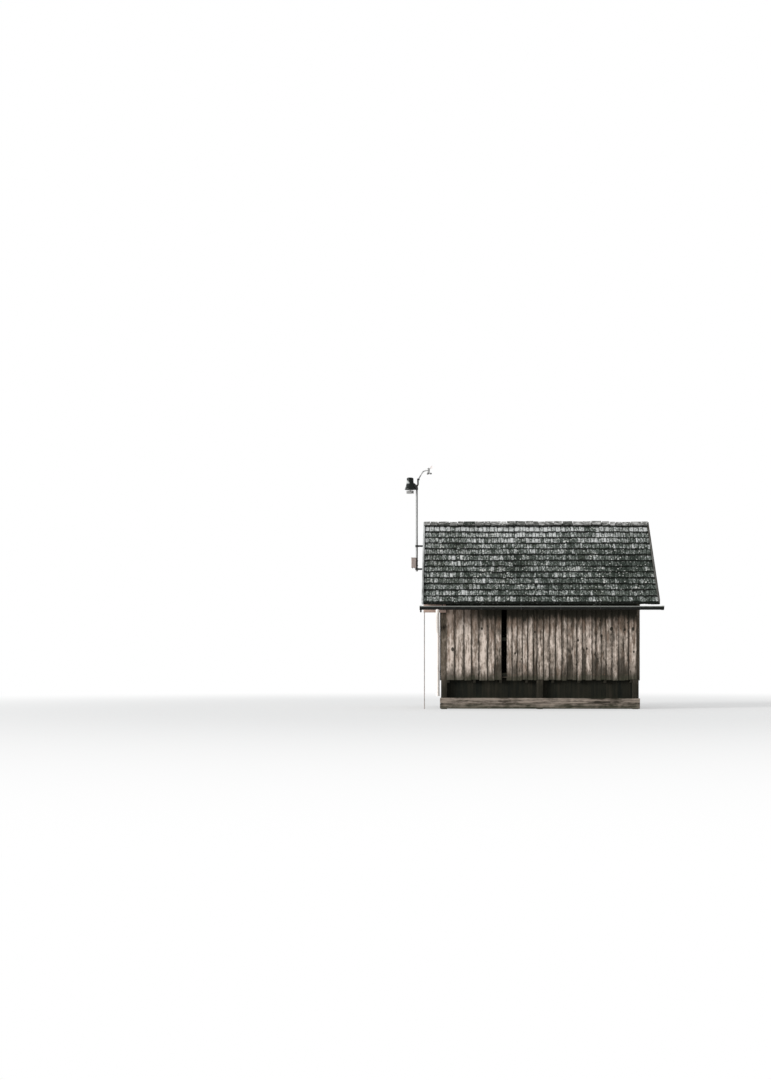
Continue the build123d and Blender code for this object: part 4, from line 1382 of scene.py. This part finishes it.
class HUT_OT_finishes(bpy.types.Operator):
    """Materials of the nodes that stay as the model has them"""
    bl_idname = "hut.finishes"
    bl_label = "Metal and Casing Finishes"

    def execute(self, context):
        tints = colours()
        dull = (0.3, 0.27, 0.24, 1)
        for material, *nodes in (
            (metal("Pale Sheet", tints.zinc, dull, 0.18), "front_downpipe", "pipe_clips"),
            (metal("Galvanised Steel", tints.galvanised, tints.dark_steel, 0.1, 0.35), "mast"),
            (metal("Dark Steel", tints.dark_steel, tints.rust, 0.12),
             "gutter_straps", "mast_arms", "box_straps", "sensor_bracket", "boom_horn"),
            (metal("Pale Rod", tints.box_casing, tints.galvanised, 0.4), "outrigger_rod"),
            (metal("Bright Tube", tints.grey_casing, tints.galvanised, 0.5, 0.3), "wind_boom"),
            (metal("Instrument Box", tints.box_casing, tints.rust, 0.3), "instrument_box"),
            (metal("Cup Casing", tints.galvanised, tints.dark_steel, 0.2, 0.0, 0.3), "wind_cups"),
            (metal("Grey Plates", tints.grey_casing, tints.galvanised, 0.3), "shield_plates"),
            (dark_gutter(), "front_gutter"), (hood_with_painted_highlight(), "sensor_hood"), (pale_vane(), "wind_vane"),
        ):
            for node in nodes:
                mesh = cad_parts[node].data
                mesh.materials.clear()
                mesh.materials.append(material)
        return {"FINISHED"}


# Stage

white_light = {"Color": (1, 1, 1, 1), "Strength": 1.0}


@finish("Stage Floor")
def hazy_floor(tree):
    """Pale floor that is white to the camera far away."""
    tree.fill(tree.shader, {"Base Color": (0.82, 0.82, 0.81, 1), "Roughness": 0.9})
    away = tree.step(tree.vector("LENGTH", tree.where), 7.0, 26.0)
    seen = (0.45 + away * 0.55) * tree.outputs("ShaderNodeLightPath").is_camera_ray
    blend = tree.blend(seen, tree.shader, tree.node("ShaderNodeEmission", white_light))
    tree.fill(tree.nodes["Material Output"], {"Surface": blend})


class HUT_OT_stage(bpy.types.Operator):
    """Floor, light and camera"""
    bl_idname = "hut.stage"
    bl_label = "Stage"

    def execute(self, context):
        self.add_floor()
        self.add_light()
        self.add_sky()
        self.add_camera()
        context.scene.view_settings.view_transform = "Standard"
        return {"FINISHED"}

    def add_floor(self):
        deselect()
        bpy.ops.mesh.primitive_plane_add(size=600, location=(0, 0, 0))
        floor = settle("stage_floor")
        floor.data.materials.append(hazy_floor())

    def add_light(self):
        deselect()
        bpy.ops.object.light_add(type="SUN", location=(-14, -9, 4))
        sun = bpy.context.active_object
        sun.name = "key_light"
        sun.rotation_euler = Vector((14, 7.6, -3.6)).to_track_quat("-Z", "Y").to_euler()
        sun.data.energy = 3.4
        sun.data.angle = math.radians(24)

    def add_sky(self):
        """Soft light on the hut, and white behind it and in what shines."""
        world = bpy.data.worlds.new("Soft Sky")
        bpy.context.scene.world = world
        world.use_nodes = True
        world.node_tree.nodes.clear()
        tree = Tree(world.node_tree)
        path = tree.outputs("ShaderNodeLightPath")
        mirrored = tree.greater(path.is_glossy_ray, path.is_transmission_ray)
        seen = tree.greater(path.is_camera_ray, mirrored)
        soft = tree.node("ShaderNodeBackground", {"Color": (0.96, 0.98, 1, 1), "Strength": 0.5})
        white = tree.node("ShaderNodeBackground", white_light)
        tree.node("ShaderNodeOutputWorld", {"Surface": tree.blend(seen, soft, white)})

    def add_camera(self):
        deselect()
        bpy.ops.object.camera_add(location=(-1.94, -31.8, 0.85), rotation=(math.pi / 2, 0, 0))
        camera = bpy.context.active_object
        camera.name = "hut_camera"
        camera.data.sensor_width = 36
        camera.data.lens = 44.2
        camera.data.shift_x = -0.0644
        camera.data.shift_y = 0.1222
        camera.data.clip_end = 500
        bpy.context.scene.camera = camera


class HUT_PT_panel(bpy.types.Panel):
    """Lists the hut's operators and settings"""
    bl_idname = "HUT_PT_panel"
    bl_label = "Timber Hut"
    bl_space_type = "VIEW_3D"
    bl_region_type = "UI"
    bl_category = "Hut"

    def draw(self, context):
        for operator in operators:
            self.layout.operator(operator.bl_idname)
        for group in (context.scene.hut_sizes, context.scene.hut_colours):
            column = self.layout.column()
            for key in type(group).__annotations__:
                column.prop(group, key)


operators = (
    HUT_OT_stage, HUT_OT_front_wall, HUT_OT_plain_walls, HUT_OT_skirt, HUT_OT_floor_and_deck,
    HUT_OT_shingles, HUT_OT_ridge_boards, HUT_OT_frame, HUT_OT_tie_planks, HUT_OT_finishes,
)
classes = (HutSizes, HutColours) + operators + (HUT_PT_panel,)


def register():
    for item in classes:
        bpy.utils.register_class(item)
    bpy.types.Scene.hut_sizes = PointerProperty(type=HutSizes)
    bpy.types.Scene.hut_colours = PointerProperty(type=HutColours)


def unregister():
    del bpy.types.Scene.hut_colours
    del bpy.types.Scene.hut_sizes
    for item in reversed(classes):
        bpy.utils.unregister_class(item)


def main():
    register()
    bpy.ops.hut.stage()
    bpy.ops.hut.front_wall()
    bpy.ops.hut.plain_walls()
    bpy.ops.hut.skirt()
    bpy.ops.hut.floor_and_deck()
    bpy.ops.hut.shingles()
    bpy.ops.hut.ridge_boards()
    bpy.ops.hut.frame()
    bpy.ops.hut.tie_planks()
    bpy.ops.hut.finishes()




if __name__ == "__main__":
    main()
